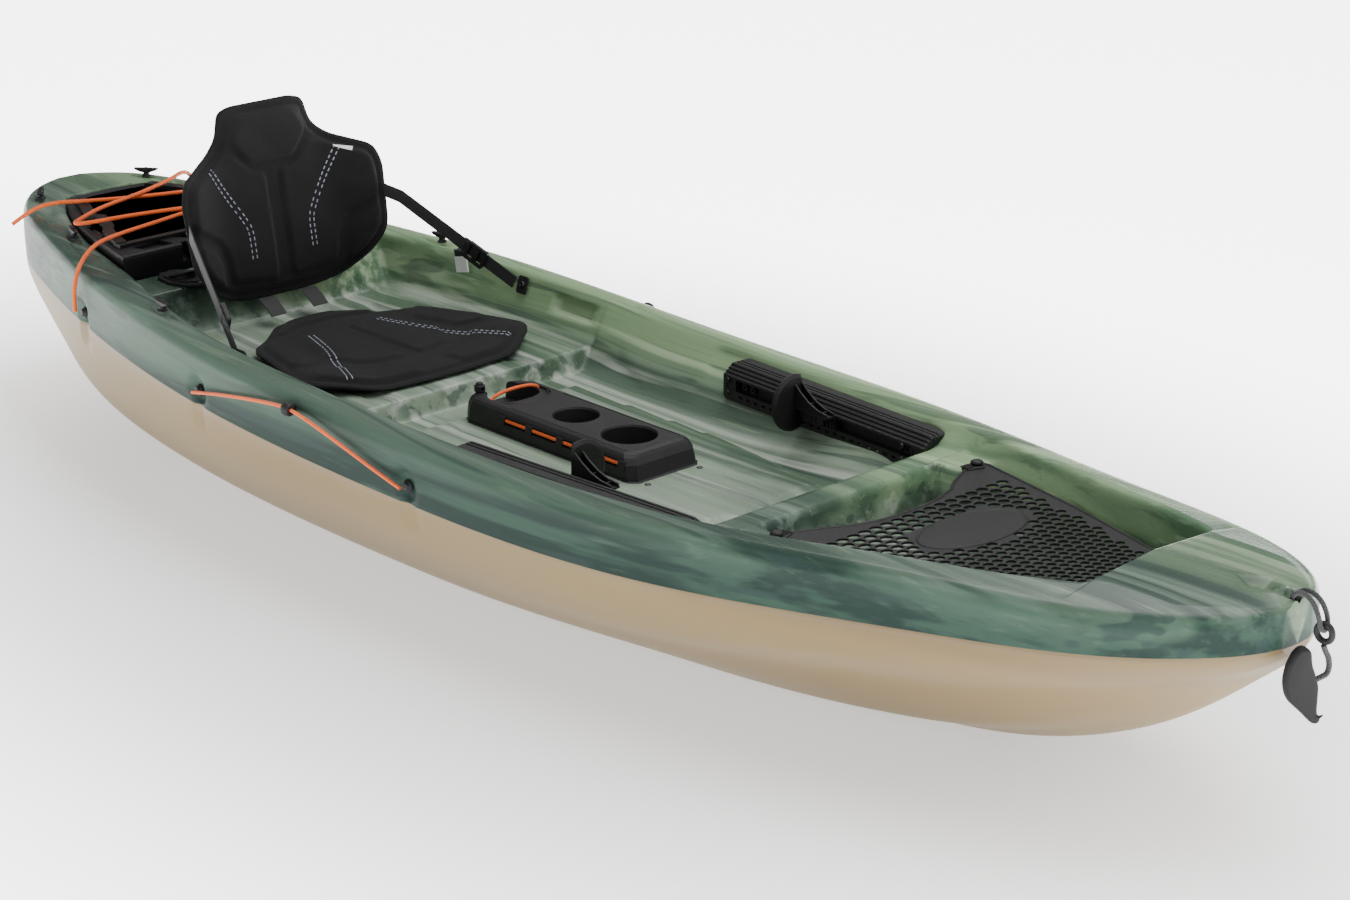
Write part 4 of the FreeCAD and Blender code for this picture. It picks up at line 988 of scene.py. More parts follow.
def tub_loop(z, shrink, aft, fore, notch=0.0):
    """The plan of the tub at one level, drawn in from the well's wall."""
    stations = [aft + (fore - aft) * k / 14 for k in range(15)]
    side = [(x, well_half(x, z) - 0.8 - shrink) for x in stations]
    rear = [(aft - 5.0, side[0][1] * 0.5)]
    bow = [(fore + notch, side[-1][1] * f) for f in (0.62, 0.25)]
    half = rear + side + bow
    return [(x, y, z) for x, y in half] + [(x, -y, z) for x, y in reversed(half)]


def storage_tub():
    """The lift-out tub: outer wall, flange and mouth in one skin, with the bars added on top."""
    levels = [(202, 1, -1328, -934), (246, 0, -1330, -933), (292, 0, -1330, -924), (356, 0, -1330, -924, 1),
              (361, 1.5, -1329, -925), (TUB_RIM, 4, -1327, -927), (TUB_RIM, 24, -1306, TUB_INNER - 6),
              (361, 27, -1303, TUB_INNER - 9), (300, 32, -1298, TUB_INNER - 14), (216, 40, -1288, TUB_INNER - 26),
              (209, 48, -1280, TUB_INNER - 34)]
    bm = cup([tub_loop(*level) for level in levels])
    cutters = []
    for side in (1, -1):
        # pockets in the front flange
        cutters.append(prism([(-976, side * 30), (-976, side * 92), (-940, side * 66)], 352, 380))
        cutters.append(prism([(-972, side * 120), (-936, side * 112), (-936, side * 170), (-962, side * 186)],
                             355, 380))
        cutters.append(prism([(-934, side * 88), (-910, side * 84), (-910, side * 104), (-934, side * 100)],
                             330, 380))
    bm = carved(bm, *cutters)
    for side in (1, -1):
        # raised bars that the cords lie on, with a step half way
        path = [(-1300, 88), (-1176, 142), (-1160, 132), (-1090, 160), (-1070, 176), (TUB_INNER, 204)]
        wide = 21
        outline = [(x, side * y) for x, y in path] + [(x + 4, side * (y - wide)) for x, y in reversed(path)]
        joined(bm, prism(outline, TUB_RIM - 1, TUB_TOP))
        # facets of the slanted front
        steps = [(-936, ((40, 268), (200, 268), (196, 340), (60, 340))),
                 (-925, ((70, 288), (176, 284), (178, 326), (84, 328)))]
        joined(bm, cup([[(x, side * y, z) for y, z in corners] for x, corners in steps]))
    bar = [(TUB_INNER, 204), (TUB_INNER, -204), (TUB_INNER + 14, -204), (TUB_INNER + 14, 204)]
    joined(bm, prism(bar, TUB_RIM - 1, TUB_TOP - 2))
    for y in (-60, 0, 60):
        joined(bm, block((-1262, y - 7, 208), (-1020, y + 7, 213)))
    return hard("tub", outward(bm), "hull", TUB, ["storage_tub"], 0.0014, 24)


storage_tub()

# ---------------------------------------------------------------- cords of the deck

CORD_OVER, CORD_STEP = 376.6, 8.3  # height of the lower cord on the tub, and how far the other lies above it
STERN_LONG, PADDLE_LONG, POCKET_LONG, EDGE_LONG = 1.072, 0.580, 0.122, 0.284  # metres of cord between its ends
for letter, side, step in (("a", 1, 0.0), ("b", -1, CORD_STEP)):
    over = CORD_OVER + step
    route = [(-1322, -212, 338), (-1306, -184, 362), (-1282, -150, over), (-1240, -88, over), (-1196, 10, over),
             (-1162, 120, over), (-1140, 174, CORD_OVER + 3), (-1122, 206, 378), (-1104, 176, CORD_OVER + 3),
             (-1080, 110, over), (-1058, 20, over), (-1032, -90, over), (-1006, -200, over + 1), (-988, -252, 373),
             (-975, -292, 344), (-970, -307, 300), (-968, -307, 268)]
    braided("stern_cord_" + letter, [(x, side * y, z) for x, y, z in route], 3.9, ORANGE, "hull",
            ["stern_bungee_" + letter], STERN_LONG)

PADDLE_OFF, BEAD_X = 9.6, -215  # how far the paddle cord stands off the gunwale, and where its bead is
for name, sign in SIDES:
    route = [CORD_ENDS[1], (-448, 262), (-352, 280), (-262, 293), (BEAD_X, 297), (-165, 290), (-70, 269),
             (20, 248), CORD_ENDS[2]]
    braided("paddle_cord_" + name, [(x, sign * (gunwale(x) + PADDLE_OFF), z) for x, z in route], 3.0, ORANGE,
            "hull", ["paddle_bungee_" + name], PADDLE_LONG)

POCKET_TOP, EDGE_HIGH = 256.3, 238.3
braided("console_cord", [(-118, y, POCKET_TOP + z) for y, z in ((-54, -10), (-54, 7), (54, 7), (54, -10))], 3.0,
        ORANGE, "hull", ["console_bungee"], POCKET_LONG)
edge = ((-66, -69.5), (-20, -69.8), (80, -70.2), (180, -69.8), (218, -69.5))
braided("console_edge_cord", [(x, y, EDGE_HIGH) for x, y in edge], 3.0, ORANGE, "hull",
        ["console_side_cord"], EDGE_LONG)

beads = bmesh.new()
for sign in (1, -1):
    bead = turned([(4.3, -9), (7.6, -9), (9.2, -8.2), (11.0, -5), (11.0, -3.4), (10.2, -2.6), (11.2, -1.6),
                   (11.7, 0), (11.2, 1.6), (10.2, 2.6), (11.0, 3.4), (11.0, 5), (9.2, 8.2), (7.6, 9), (4.3, 9),
                   (4.3, -9)], 28)
    joined(beads, bead, placed(BEAD_X, sign * (gunwale(BEAD_X) + PADDLE_OFF), 295, "Y", 90))
shown("paddle_beads", beads, "hull", BLACK, ["paddle_knobs"])

plugs = bmesh.new()
for x, z in CORD_ENDS:
    for sign in (1, -1):
        normal = Vector((-outline_slope(x), 1, 0.06))
        normal.y *= sign
        spot = Vector((x, sign * (gunwale(x) - 7), z))
        plug = turned([(0, 0), (10.2, 0), (10.6, 1.2), (10.0, 2.6), (7.4, 3.4), (6.8, 6.8), (5.4, 7.8), (3.2, 8.0),
                       (0, 7.2)], 28)
        joined(plugs, plug, facing(spot, normal))
shown("cord_plugs", plugs, "hull", BLACK, ["side_plugs"])

# ---------------------------------------------------------------- cleats


def cleat(x, y, z, turn):
    """Two horns on a waisted post, with a screw's dome on top."""
    bm = turned([(0, 0), (9.4, 0), (9.0, 2.2), (6.4, 4.2), (5.8, 8), (6.6, 11), (0, 11)], 24)
    top = 17
    sections = [(-24, 3.4, 3.4, 15), (-19, 4.6, 4.6, 12.6), (-8, 5.8, 5.4, 9)]  # x, half breadths, underside
    sections += [(-x, low, high, z) for x, low, high, z in reversed(sections)]
    joined(bm, cup([[(x, -low, z), (x, low, z), (x, high, top), (x, -high, top)] for x, low, high, z in sections]))
    joined(bm, turned([(0, 16.4), (4.2, 16.4), (3.6, 18.2), (1.8, 18.6), (0, 17.6)], 16))
    return moved(bm, placed(x, y, z, "Z", turn))


for name, sign in SIDES:
    bm = bmesh.new()
    for x, off, turn in ((CLEAT_X, 14, 8), (STERN_X, 16, 40), (HOOK_X, 20, 20)):
        joined(bm, cleat(x, sign * (rim_edge(x) - off), sheer(x) + 0.4, sign * turn))
    hard("cleats_" + name + "_dressed", bm, "hull", BLACK, ["cleats_" + name], 0.0011, 35)

# ---------------------------------------------------------------- rod holders, drains and foam

LEAN = 20
ROD_X, ROD_Y, ROD_Z, TUBE_BORE = -850, 150, 320, 21.2
for name, sign in SIDES:
    outline = [(-55, -16), (-34, -34), (4, -38), (38, -24), (56, 0), (38, 24), (4, 38), (-34, 34), (-55, 16)]
    plate = prism(outline, 0.4, 5)
    rim = prism([(0.78 * x, 0.78 * y) for x, y in outline], 4.9, 8.5)
    bm = united(plate, rim)
    moved(bm, placed(ROD_X, sign * ROD_Y, ROD_Z))
    tube = turned([(0, -188), (23.9, -188), (23.9, 9), (26.5, 10.5), (26.5, 13.5), (24.5, 15), (22.4, 14.6),
                   (TUBE_BORE, 12), (TUBE_BORE, -184), (0, -184)], 44)
    well = turned([(0, -60), (TUBE_BORE + 0.1, -60), (TUBE_BORE + 0.1, 60), (0, 60)], 44)
    lean = placed(ROD_X, sign * ROD_Y, ROD_Z, "Y", -LEAN)
    bm = carved(bm, moved(well, lean))
    joined(bm, tube, lean)
    hard("rod_socket_" + name, bm, "hull", BLACK, ["rod_holder_" + name], 0.0012, 30)
screws("rod_socket_screws", [placed(ROD_X + dx, sign * ROD_Y, 325.2) for dx in (-47, 48) for sign in (1, -1)],
       ["rod_holder_screws"], 4.2)

drains = bmesh.new()
for x, y in ((-620, 130), (-620, -130), (-1130, 80), (-1130, -80)):
    top = SEAT_FLOOR + 0.2 if x > -900 else TANK_FLOOR
    low = max(1.5, next(z for beam, z in hull_section(x)[0] if beam <= abs(y)))
    tube = turned([(16.2, low), (18.9, low), (18.9, top - 2), (17.8, top), (16.2, top), (16.2, low)], 36)
    joined(drains, tube, placed(x, y, 0))
shown("drain_tubes", drains, "hull", TAN, ["scupper_tubes"])
for name in ("stern_foam", "bow_foam"):
    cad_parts[name].data.materials.clear()
    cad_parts[name].data.materials.append(FOAM.material)

# ---------------------------------------------------------------- console

TRAY_FLOOR = 206.3


def tray_loop(z, aft, fore, half, cut=13.0):
    """The plan of the console at a height over the footwell's floor."""
    corners = [(aft + 32, -half), (fore - cut, -half), (fore, cut - half), (fore, half - cut), (fore - cut, half),
               (aft + 32, half), (aft + 10, half - 14), (aft, half - 34), (aft, 34 - half), (aft + 10, 14 - half)]
    return [(x, y, TRAY_FLOOR + z) for x, y in corners]


def oval(x, z, long, wide, low, steps=40, power=2.6):
    """A squared oval on the centre line, for pockets."""
    def squared(share):
        return math.copysign(abs(share) ** (2 / power), share)
    turns = [2 * math.pi * k / steps for k in range(steps)]
    return prism([(x + long * squared(math.cos(a)), wide * squared(math.sin(a))) for a in turns], low, z)


def console():
    """The centre console: cup wells, pocket, cord groove with its clips, and the toe ribs in front."""
    levels = [(0, -180, 260, 75), (7, -180, 258, 75.4), (9, -178, 255, 73.6), (12, -179, 254, 74.6),
              (33, -178, 249, 72.6), (43, -176, 242, 69), (47.5, -173, 238, 64.5), (50, -169, 232, 59)]
    bm = cup([tray_loop(*level) for level in levels])
    bm = united(bm, prism([(218, -70), (276, -70), (280, -66), (280, 66), (276, 70), (218, 70)], TRAY_FLOOR,
                          TRAY_FLOOR + 6))
    for side in (1, -1):
        for k in range(4):
            y = side * (46 + 6.4 * k)
            joined(bm, prism([(228, TRAY_FLOOR + 5), (262 - 2 * k, TRAY_FLOOR + 5), (258 - 3 * k, TRAY_FLOOR + 14),
                              (244 - 2 * k, TRAY_FLOOR + 36 - 4 * k), (228, TRAY_FLOOR + 42)],
                             y - 1.3, y + 1.3, "XZ"))
    groove = block((-70, -90, 232.6), (222, -66.6, 244.2))
    aft_mouth = prism([(-190, -30), (-150, -34), (-150, 34), (-190, 30)], 226, 262)
    first = turned([(0, 214.3), (43.4, 214.3), (44.5, 216), (44.5, 253), (46.6, 256.4), (47.4, 260), (0, 260)], 56)
    second = turned([(0, 219), (36.4, 219), (37.4, 221), (37.4, 253), (39.4, 256.4), (40.2, 260), (0, 260)], 56)
    trims = [prism([(-60, side * 57), (226, side * 57), (226, side * 55.4), (-60, side * 55.4)], 255.4, 258)
             for side in (1, -1)]
    bm = carved(bm, groove, moved(first, placed(166, 0, 0)), moved(second, placed(37, 0, 0)),
                oval(-106, 262, 42, 53, 252.6), oval(-122, 258, 34, 46, 219), *trims)
    bm = carved(bm, aft_mouth)
    for x in (-72, -4, 72, 152, 220):
        joined(bm, prism([(-75.4, 231.4), (-72.8, 245), (-64, 245), (-64, 231.4)], x - 1, x + 15, "YZ"))
    lip = [(-106 + 43.5 * math.cos(a), 52 * math.sin(a)) for a in [math.radians(d) for d in range(-72, 73, 8)]]
    for start, end in zip(lip, lip[1:]):
        joined(bm, rod((*start, 255.4), (*end, 255.4), 1.7, 8))
    return hard("console", outward(bm), "hull", BLACK, ["console_tray"], 0.0011, 30)


console()
lock = turned([(0, 0), (8.4, 0), (9.2, 1.2), (9.2, 10.4), (8.6, 11.2), (6.4, 11.4), (6.2, 13.6), (5.2, 15.4),
               (3.4, 16.2), (0, 16.4)], 30)
hole = rod((-14, 0, 6), (14, 0, 6), 3.1, 16)
lock = moved(carved(lock, hole), placed(-160, -40, 256.6))
hard("cord_lock", lock, "hull", BLACK, ["console_cord_lock"], 0.0005, 40)
screws("console_screw_heads", [placed(270, y, TRAY_FLOOR + 6) for y in (-56, 56)], ["console_screws"], 5.4)

# ---------------------------------------------------------------- foot braces

RAIL = placed(110, 288, 271, "Z", -3.576)  # the brace's own frame: X along the rail, Y into the side
PITCH, PEDAL_SHIFT = 19.4, 195  # of the rail's slots, and how far along the rail the pedal stands at rest


def for_side(bm, side):
    """The port shape, or its starboard twin."""
    if side > 0:
        return bm
    twin = mirrored(bm)
    bm.free()
    return twin


def along_line(a, b, cuts):
    """Points on a line with square grooves let into it, each as (share, half width, depth)."""
    run = Vector((b[0] - a[0], b[1] - a[1]))
    inward = Vector((run.y, -run.x)).normalized()
    start, points = Vector(a), [Vector(a)]
    for share, half, depth in cuts:
        middle = start + run * share
        step = run.normalized() * half
        points += [middle - step, middle - step * 0.8 + inward * depth, middle + step * 0.8 + inward * depth,
                   middle + step]
    return points


def rail():
    """The toothed rail: a grooved section drawn along, with its track, slots and bosses."""
    face = [(-22, -30), (-26, -26), (-26, 14)]
    slope = along_line((-26, 14), (-6, 30), [(0.2, 1.7, 2.2), (0.5, 1.7, 2.2), (0.8, 1.7, 2.2)])
    top = along_line((-6, 30), (29.4, 30), [(0.18, 1.7, 2.0), (0.42, 1.7, 2.0)])
    profile = [Vector(p) for p in face[:2]] + slope + top + [Vector((29.4, 30)), Vector((-4, -30))]
    middle = Vector((-8, 0))
    rings = []
    for x, share in ((0.3, 0.9), (4, 0.985), (7, 1.0), (472, 1.0), (476, 0.985), (479.7, 0.9)):
        rings.append([(x, *(middle + (p - middle) * share)) for p in profile])
    bm = cup(rings)
    cutter = block((34, -40, -10), (452, -13, 10))
    joined(cutter, block((10, -40, -8), (30, -24.4, 10)))
    for k in range(23):
        x = 22 + k * PITCH
        if 440 > x > 32 or k % 2:
            for z in (17, -18):
                joined(cutter, block((x, -40, z - 2.2), (x + 9, -22.6, z + 2.2)))
    joined(cutter, block((456, -40, -8), (474, -24.4, 8)))
    bm = carved(bm, cutter)
    for x in (60, 430):
        for dx in (-10, 10):
            boss = turned([(5.8, 0), (5.8, 7), (3.1, 7), (3.1, 2), (0, 2), (0, 0), (5.8, 0)], 18)
            joined(bm, boss, placed(x + dx, -13.4, 0, "X", 90))
    return moved(outward(bm), RAIL)


def pedal():
    """A round pad on two ribs, and the slide that runs in the track."""
    slide = RAIL @ placed(PEDAL_SHIFT, 0, 0)
    radius = 48
    turns = [math.radians(turn) for turn in range(0, 360, 6)]
    disc = [(radius * math.cos(a), radius * math.sin(a)) for a in turns]
    steps = ((3.6, 5.6), (0.7, 1.2), (0, 0), (-3.0, 0), (-4.2, 1.2), (-4.2, 3.0), (-2.0, 4.2))
    rings = [[(x + 4, min(y * (radius - shrink) / radius, 17 - 0.3 * shrink), z * (radius - shrink) / radius)
              for y, z in disc] for x, shrink in steps]
    bm = moved(cup(rings), placed(305, 228, 292))
    for y in (-47, -32):
        rib = [(2, 13), (86, 13), (86, 20), (64, 23), (44, 30), (24, 42), (12, 52), (3, 60)]
        joined(bm, prism(rib, y - 1.6, y + 1.6, "XZ"), slide)
        for k in range(3):
            joined(bm, block((30 + 18 * k, y - 2.6, 13), (32.4 + 18 * k, y + 2.6, 25 - 3 * k)), slide)
    for x in (14, 40, 70):
        joined(bm, block((x, -47, 13), (x + 2.4, -32, 15 + (70 - x) * 0.25 + 5)), slide)
    joined(bm, block((2, -50, 11.8), (86, -27, 15.2)), slide)
    joined(bm, block((10, -31, -9.4), (86, -14.8, 9.4)), slide)
    joined(bm, block((10, -31, 0), (86, -26.8, 13.6)), slide)
    for x in range(14, 84, 8):
        joined(bm, block((x, -33, -9), (x + 3, -30.8, 9)), slide)
    return outward(bm)


def lever_arm():
    """The sprung lever that locks the pedal to the teeth."""
    bm = prism([(14, -8.6), (22, -10.4), (56, -9.4), (65.4, -4.4), (61, 1.8), (28, 2.4), (12, -3.6)], 0.4, 13.6)
    for x in (30, 40, 50):
        joined(bm, block((x, -11.2, 2), (x + 3, -9.2, 12)))
    hole = prism([(26, -6), (50, -6.4), (54, -3), (30, -1.6)], 5, 20)
    return moved(carved(bm, hole), RAIL @ placed(PEDAL_SHIFT + 4, -34.4, -4))


for name, side in SIDES:
    hard("rail_" + name, for_side(rail(), side), "hull", BLACK, ["foot_rail_" + name], 0.0009, 34)
    places = [RAIL @ placed(x, -26.3, z, "X", 90) for x in (14, 432) for z in (-16, 6)]
    if side < 0:
        flip = Matrix.Scale(-1, 4, (0, 1, 0))
        places = [flip @ m @ Matrix.Scale(-1, 4, (1, 0, 0)) for m in places]
    screws("rail_screw_heads_" + name, places, ["rail_screws_" + name], 5.2, 2.5)
    hard("pedal_" + name, for_side(pedal(), side), "pedal_" + name, TUB, ["foot_pedal_" + name],
         0.0007, 34)
    hard("lever_" + name, for_side(lever_arm(), side), "lever_" + name, TUB, ["pedal_lever_" + name],
         0.0007, 34)

# ---------------------------------------------------------------- mesh cover

COVER = placed(700, 0, 290.6, "Y", -2.36)  # the cover's own frame, from its aft edge forward
COVER_LONG = 485.0
PIN_X, PIN_Y, HINGE_X = 14, 214, COVER_LONG - 22
PLATE_X, PLATE_LONG, PLATE_WIDE = 196, 58, 102


def cover_edge(x):
    """Half breadth of the cover, in two straight runs."""
    return 234 + (170.5 - 234) * (x - 24) / 226 if x < 250 else 170.5 + (95 - 170.5) * (x - 250) / 225


def plate_loop(reach, steps):
    """The oval of the cover's plate, or a share of it."""
    return [(PLATE_X + PLATE_LONG * reach * math.cos(a), PLATE_WIDE * reach * math.sin(a))
            for a in [2 * math.pi * k / steps for k in range(steps)]]


def mesh_lid():
    """The hexagonal mesh in its round-edged frame, with its plate, pull tabs and hinge knuckles."""
    aft = [(0, 228), (20, 176), (38, 138), (58, 108), (72, 66), (77, 30)]
    edge = [(8, 233), (24, 233.6), (130, 204), (250, 170), (360, 133), (462, 98), (476, 92), (484, 76), (485, 40)]
    outline = [(x, y) for x, y in edge] + [(x, -y) for x, y in reversed(edge)]
    outline += [(x, -y) for x, y in aft] + [(x, y) for x, y in reversed(aft)]
    bm = prism(outline, 1.1, 4.6)
    cutter = bmesh.new()
    x, row = 92.0, 0
    while x < COVER_LONG - 24:
        pitch = 24.6 - 9.0 * x / COVER_LONG
        y = pitch / 2 if row % 2 else 0.0
        while y < cover_edge(x) - 16 - 0.42 * pitch:
            inside = ((x - PLATE_X) / (PLATE_LONG + 2)) ** 2 + (y / (PLATE_WIDE + 2)) ** 2 < 1.14
            if not inside:
                for side in ((1, -1) if y > 0.1 else (1,)):
                    reach = 0.425 * pitch
                    hexagon = [(x + 0.92 * reach * math.cos(math.radians(a)),
                                side * y + 1.04 * reach * math.sin(math.radians(a))) for a in range(0, 360, 30)]
                    joined(cutter, prism(hexagon, -3, 9))
            y += pitch
        x += pitch * 0.86
        row += 1
    bm = carved(bm, cutter)
    border = [(x * 0.997, y * 0.985, 3.2) for x, y in outline]
    for start, end in zip(border, border[1:] + border[:1]):
        joined(bm, rod(start, end, 3.1, 10))
    # bare oval plate, crowned
    crown = ((1.0, 4.4), (0.985, 5.9), (0.95, 6.4), (0.93, 5.7), (0.9, 5.7), (0.6, 6.5), (0.2, 6.9))
    joined(bm, cup([[(x, y, z) for x, y in plate_loop(reach, 64)] for reach, z in crown]))
    joined(bm, prism(plate_loop(1.0, 48), 0.8, 4.5))
    for side in (1, -1):
        # ribbed pull tabs at the aft corners
        tab = [(-1, 196), (20, 188), (30, PIN_Y), (18, 230), (2, 230)]
        joined(bm, prism([(x, side * y) for x, y in tab], 0.4, 6.4))
        for k in range(4):
            joined(bm, block((2 + 4.6 * k, side * 196 - 7, 6.2), (4.2 + 4.6 * k, side * 196 + 8, 7.8)))
        joined(bm, turned([(0, 0.6), (12.6, 0.6), (12.6, 6.4), (11.4, 7.2), (0, 7.2)], 30),
               placed(PIN_X, side * PIN_Y, 0))
        for low, high, radius in ((60, 94, 7.0), (64, 68, 8.0), (88, 92, 8.0)):
            joined(bm, rod((HINGE_X, side * low, 4.2), (HINGE_X, side * high, 4.2), radius, 22))
    return moved(outward(bm), COVER)


hard("lid", mesh_lid(), "mesh_cover", BLACK, ["mesh_cover"], 0.0005, 40, 1)
pins = bmesh.new()
for side in (1, -1):
    joined(pins, turned([(0, 0), (3.9, 0.4), (3.9, 5.3), (5.4, 5.4), (5.4, 7.4), (8.2, 7.8), (9.8, 9.4), (10, 11),
                         (8.6, 13.2), (5.6, 14.8), (2.4, 15.2), (0, 15.2)], 26),
           COVER @ placed(PIN_X, side * PIN_Y, 0))
    joined(pins, turned([(0, 0), (3.9, 0.4), (3.9, 5.3), (6.8, 11), (6.4, 12.4), (4.0, 12.9), (0, 12.9)], 22),
           COVER @ placed(HINGE_X, side * 78, 0))
shown("lid_pins", pins, "mesh_cover", BLACK, ["mesh_pins"])

# ---------------------------------------------------------------- seat


def arc(start, corner, end, t):
    """A place on the curve that rounds a corner off."""
    return start * (1 - t) ** 2 + corner * (2 * t * (1 - t)) + end * t ** 2


def filleted(points, reach=26.0, steps=5):
    """An outline with each corner drawn round."""
    loop = []
    count = len(points)
    for i in range(count):
        before, here, after = (Vector(points[(i + k) % count]) for k in (-1, 0, 1))
        a, b = before - here, after - here
        cutback = min(reach, 0.42 * a.length, 0.42 * b.length)
        a, b = here + a.normalized() * cutback, here + b.normalized() * cutback
        loop += [arc(a, here, b, k / steps) for k in range(steps + 1)]
    return loop


def resampled(loop, count):
    """The same outline at even steps."""
    lengths = [(loop[(i + 1) % len(loop)] - loop[i]).length for i in range(len(loop))]
    total, result, i, used = sum(lengths), [], 0, 0.0
    for k in range(count):
        target = total * k / count
        while used + lengths[i] < target:
            used += lengths[i]
            i += 1
        share = (target - used) / max(lengths[i], 1e-9)
        result.append(loop[i] + (loop[(i + 1) % len(loop)] - loop[i]) * share)
    return result


def depth_in(loop, point):
    """How far a place lies inside an outline, less than nought outside it."""
    nearest, inside = 1e9, False
    px, py = point
    for i in range(len(loop)):
        (ax, ay), (bx, by) = loop[i], loop[(i + 1) % len(loop)]
        dx, dy = bx - ax, by - ay
        t = max(0.0, min(1.0, ((px - ax) * dx + (py - ay) * dy) / max(dx * dx + dy * dy, 1e-9)))
        nearest = min(nearest, math.hypot(px - ax - t * dx, py - ay - t * dy))
        if (ay > py) != (by > py) and px < ax + dx * (py - ay) / dy:
            inside = not inside
    return nearest if inside else -nearest


class Pad:
    """A moulded foam pad: an outline, its raised panels and the form it's pressed to."""

    def __init__(self, outline, panels, binding, full, raised, form, centre):
        self.outline = resampled(filleted(outline), 300)
        self.coarse = [tuple(p) for p in resampled(filleted(outline), 60)]
        self.panels = [[tuple(p) for p in filleted(panel, 16, 3)] for panel in panels]
        self.binding, self.full, self.raised = binding, full, raised
        self.form, self.centre = form, Vector(centre)

    def height(self, a, b):
        """The face's height over the pad's middle sheet."""
        edge = depth_in(self.coarse, (a, b))
        rise = 3.6 * ease(edge, 0, 5) + (self.full - 4.4) * ease(edge, self.binding, self.binding + 11)
        panel = max([depth_in(p, (a, b)) for p in self.panels] + [-99.0])
        return rise + self.raised * ease(panel, -3, 10)

    def mesh(self, behind):
        """The whole pad, its face and its back as loops that shrink to a tip in the middle."""
        bm = bmesh.new()
        shares = [1.0, 0.992, 0.983, 0.974, 0.962, 0.95, 0.935, 0.92, 0.90]
        shares += [0.90 - 0.90 * k / 40 for k in range(1, 40)]
        count = len(self.outline)

        def row(share, out):
            spots = [self.centre + (p - self.centre) * share for p in self.outline]
            return [bm.verts.new(Vector(self.form(a, b, out(a, b))) * MM) for a, b in spots]

        fronts = [row(1.0, lambda a, b: 1.4)] + [row(share, self.height) for share in shares[1:]]
        backs = [row(1.0, lambda a, b: -1.4)]
        for share in (0.985, 0.96, 0.9, 0.7, 0.35):
            deep = -behind * ease(1 - share, 0, 0.1) - 2.2
            backs.append(row(share, lambda a, b: deep))
        for rows, turn in ((fronts, False), (backs, True), ((backs[0], fronts[0]), False)):
            for first, second in zip(rows, rows[1:]):
                for i in range(count):
                    j = (i + 1) % count
                    quad = (first[i], first[j], second[j], second[i])
                    bm.faces.new(reversed(quad) if turn else quad)
        for loop, out in ((fronts[-1], self.height(*self.centre)), (backs[-1], -behind - 2.2)):
            tip = bm.verts.new(Vector(self.form(*self.centre, out)) * MM)
            for i in range(count):
                bm.faces.new((loop[i], loop[(i + 1) % count], tip))
        return outward(bm)

    def stitches(self, bm, path, offset, long=6.2, gap=4.6):
        """Short threads along a path on the face."""
        points = [Vector(p) for p in path]
        smooth = [points[0]]
        for before, point, after in zip(points, points[1:], points[2:]):
            a, b = point + (before - point) * 0.35, point + (after - point) * 0.35
            smooth += [arc(a, point, b, t) for t in (0, 0.25, 0.5, 0.75, 1)]
        smooth.append(points[-1])
        here = 0.0
        for a, b in zip(smooth, smooth[1:]):
            run = (b - a).length
            if run < 1e-6:
                continue
            way = (b - a) / run
            side = Vector((-way.y, way.x))
            s = (long + gap) - here if here else 0.0
            while s + long <= run + 2.0:
                corners = []
                for along_way, across in ((0, -0.9), (long, -0.9), (long, 0.9), (0, 0.9)):
                    p = a + way * (s + along_way) + side * (offset + across)
                    corners.append((p.x, p.y))
                face = [bm.verts.new(Vector(self.form(*p, self.height(*p) + 0.9)) * MM) for p in corners]
                foot = [bm.verts.new(Vector(self.form(*p, self.height(*p) - 1.2)) * MM) for p in corners]
                bm.faces.new(face)
                bm.faces.new(foot[::-1])
                for i in range(4):
                    j = (i + 1) % 4
                    bm.faces.new((foot[i], foot[j], face[j], face[i]))
                s += long + gap
            here = (run - s) % (long + gap) if s > run else 0.0


BACK = placed(-745, 0, 290, "Y", -8)


def back_form(y, z, out):
    """Where a place on the back pad lies; out is measured from its middle sheet."""
    curve = 52 * ease(abs(y), 96, 246)
    lumbar = 5 * math.exp(-((z - 70) / 90) ** 2)
    spot = BACK @ (Vector((curve - 17 + lumbar + out, y, z)) * MM)
    return spot / MM


def reflected(points, first, second):
    """The other half of an outline: its points in reverse, each coordinate times 1 or -1."""
    return [(first * a, second * b) for a, b in reversed(points)]


back_half = [(60, -2), (126, 6), (180, 40), (214, 82), (219, 200), (206, 236), (132, 268), (104, 292), (92, 338),
             (66, 346)]
head = [(-62, 330), (62, 330), (86, 286), (50, 240), (-50, 240), (-86, 286)]
wing = [(13, 26), (13, 222), (44, 230), (84, 268), (112, 262), (196, 226), (204, 150), (140, 118), (124, 92),
        (118, 36)]
corner = [(134, 26), (138, 84), (154, 106), (202, 132), (200, 92), (170, 52)]
back_panels = [head, wing, reflected(wing, -1, 1), corner, reflected(corner, -1, 1)]
back_pad = Pad(back_half + reflected(back_half, -1, 1), back_panels, 12, 13, 6.5, back_form, (0, 150))
back_piece = shown("back_cushion", back_pad.mesh(10), "seat_back", CLOTH, ["seat_back"])

SEAM_OFF = 4.6  # each seam has a row of stitches on either side


def seams(name, body, pad, paths):
    """Rows of stitches beside the seams of a pad, as a piece of their own."""
    threads = bmesh.new()
    for path in paths:
        for offset in (-SEAM_OFF, SEAM_OFF):
            pad.stitches(threads, path, offset)
    shown(name, threads, body, THREAD, (), False)


back_seam = ((138, 244), (78, 150), (66, 126), (66, 76))
seams("back_threads", "seat_back", back_pad, [[(sign * y, z) for y, z in back_seam] for sign in (1, -1)])
tag = cup([[back_form(y, z, out) for y, z in ((132, 246), (164, 238), (161, 228), (129, 236))] for out in (8, 18)])
shown("back_tag", tag, "seat_back", LABEL, (), False)

BASE_LOW = 241.6


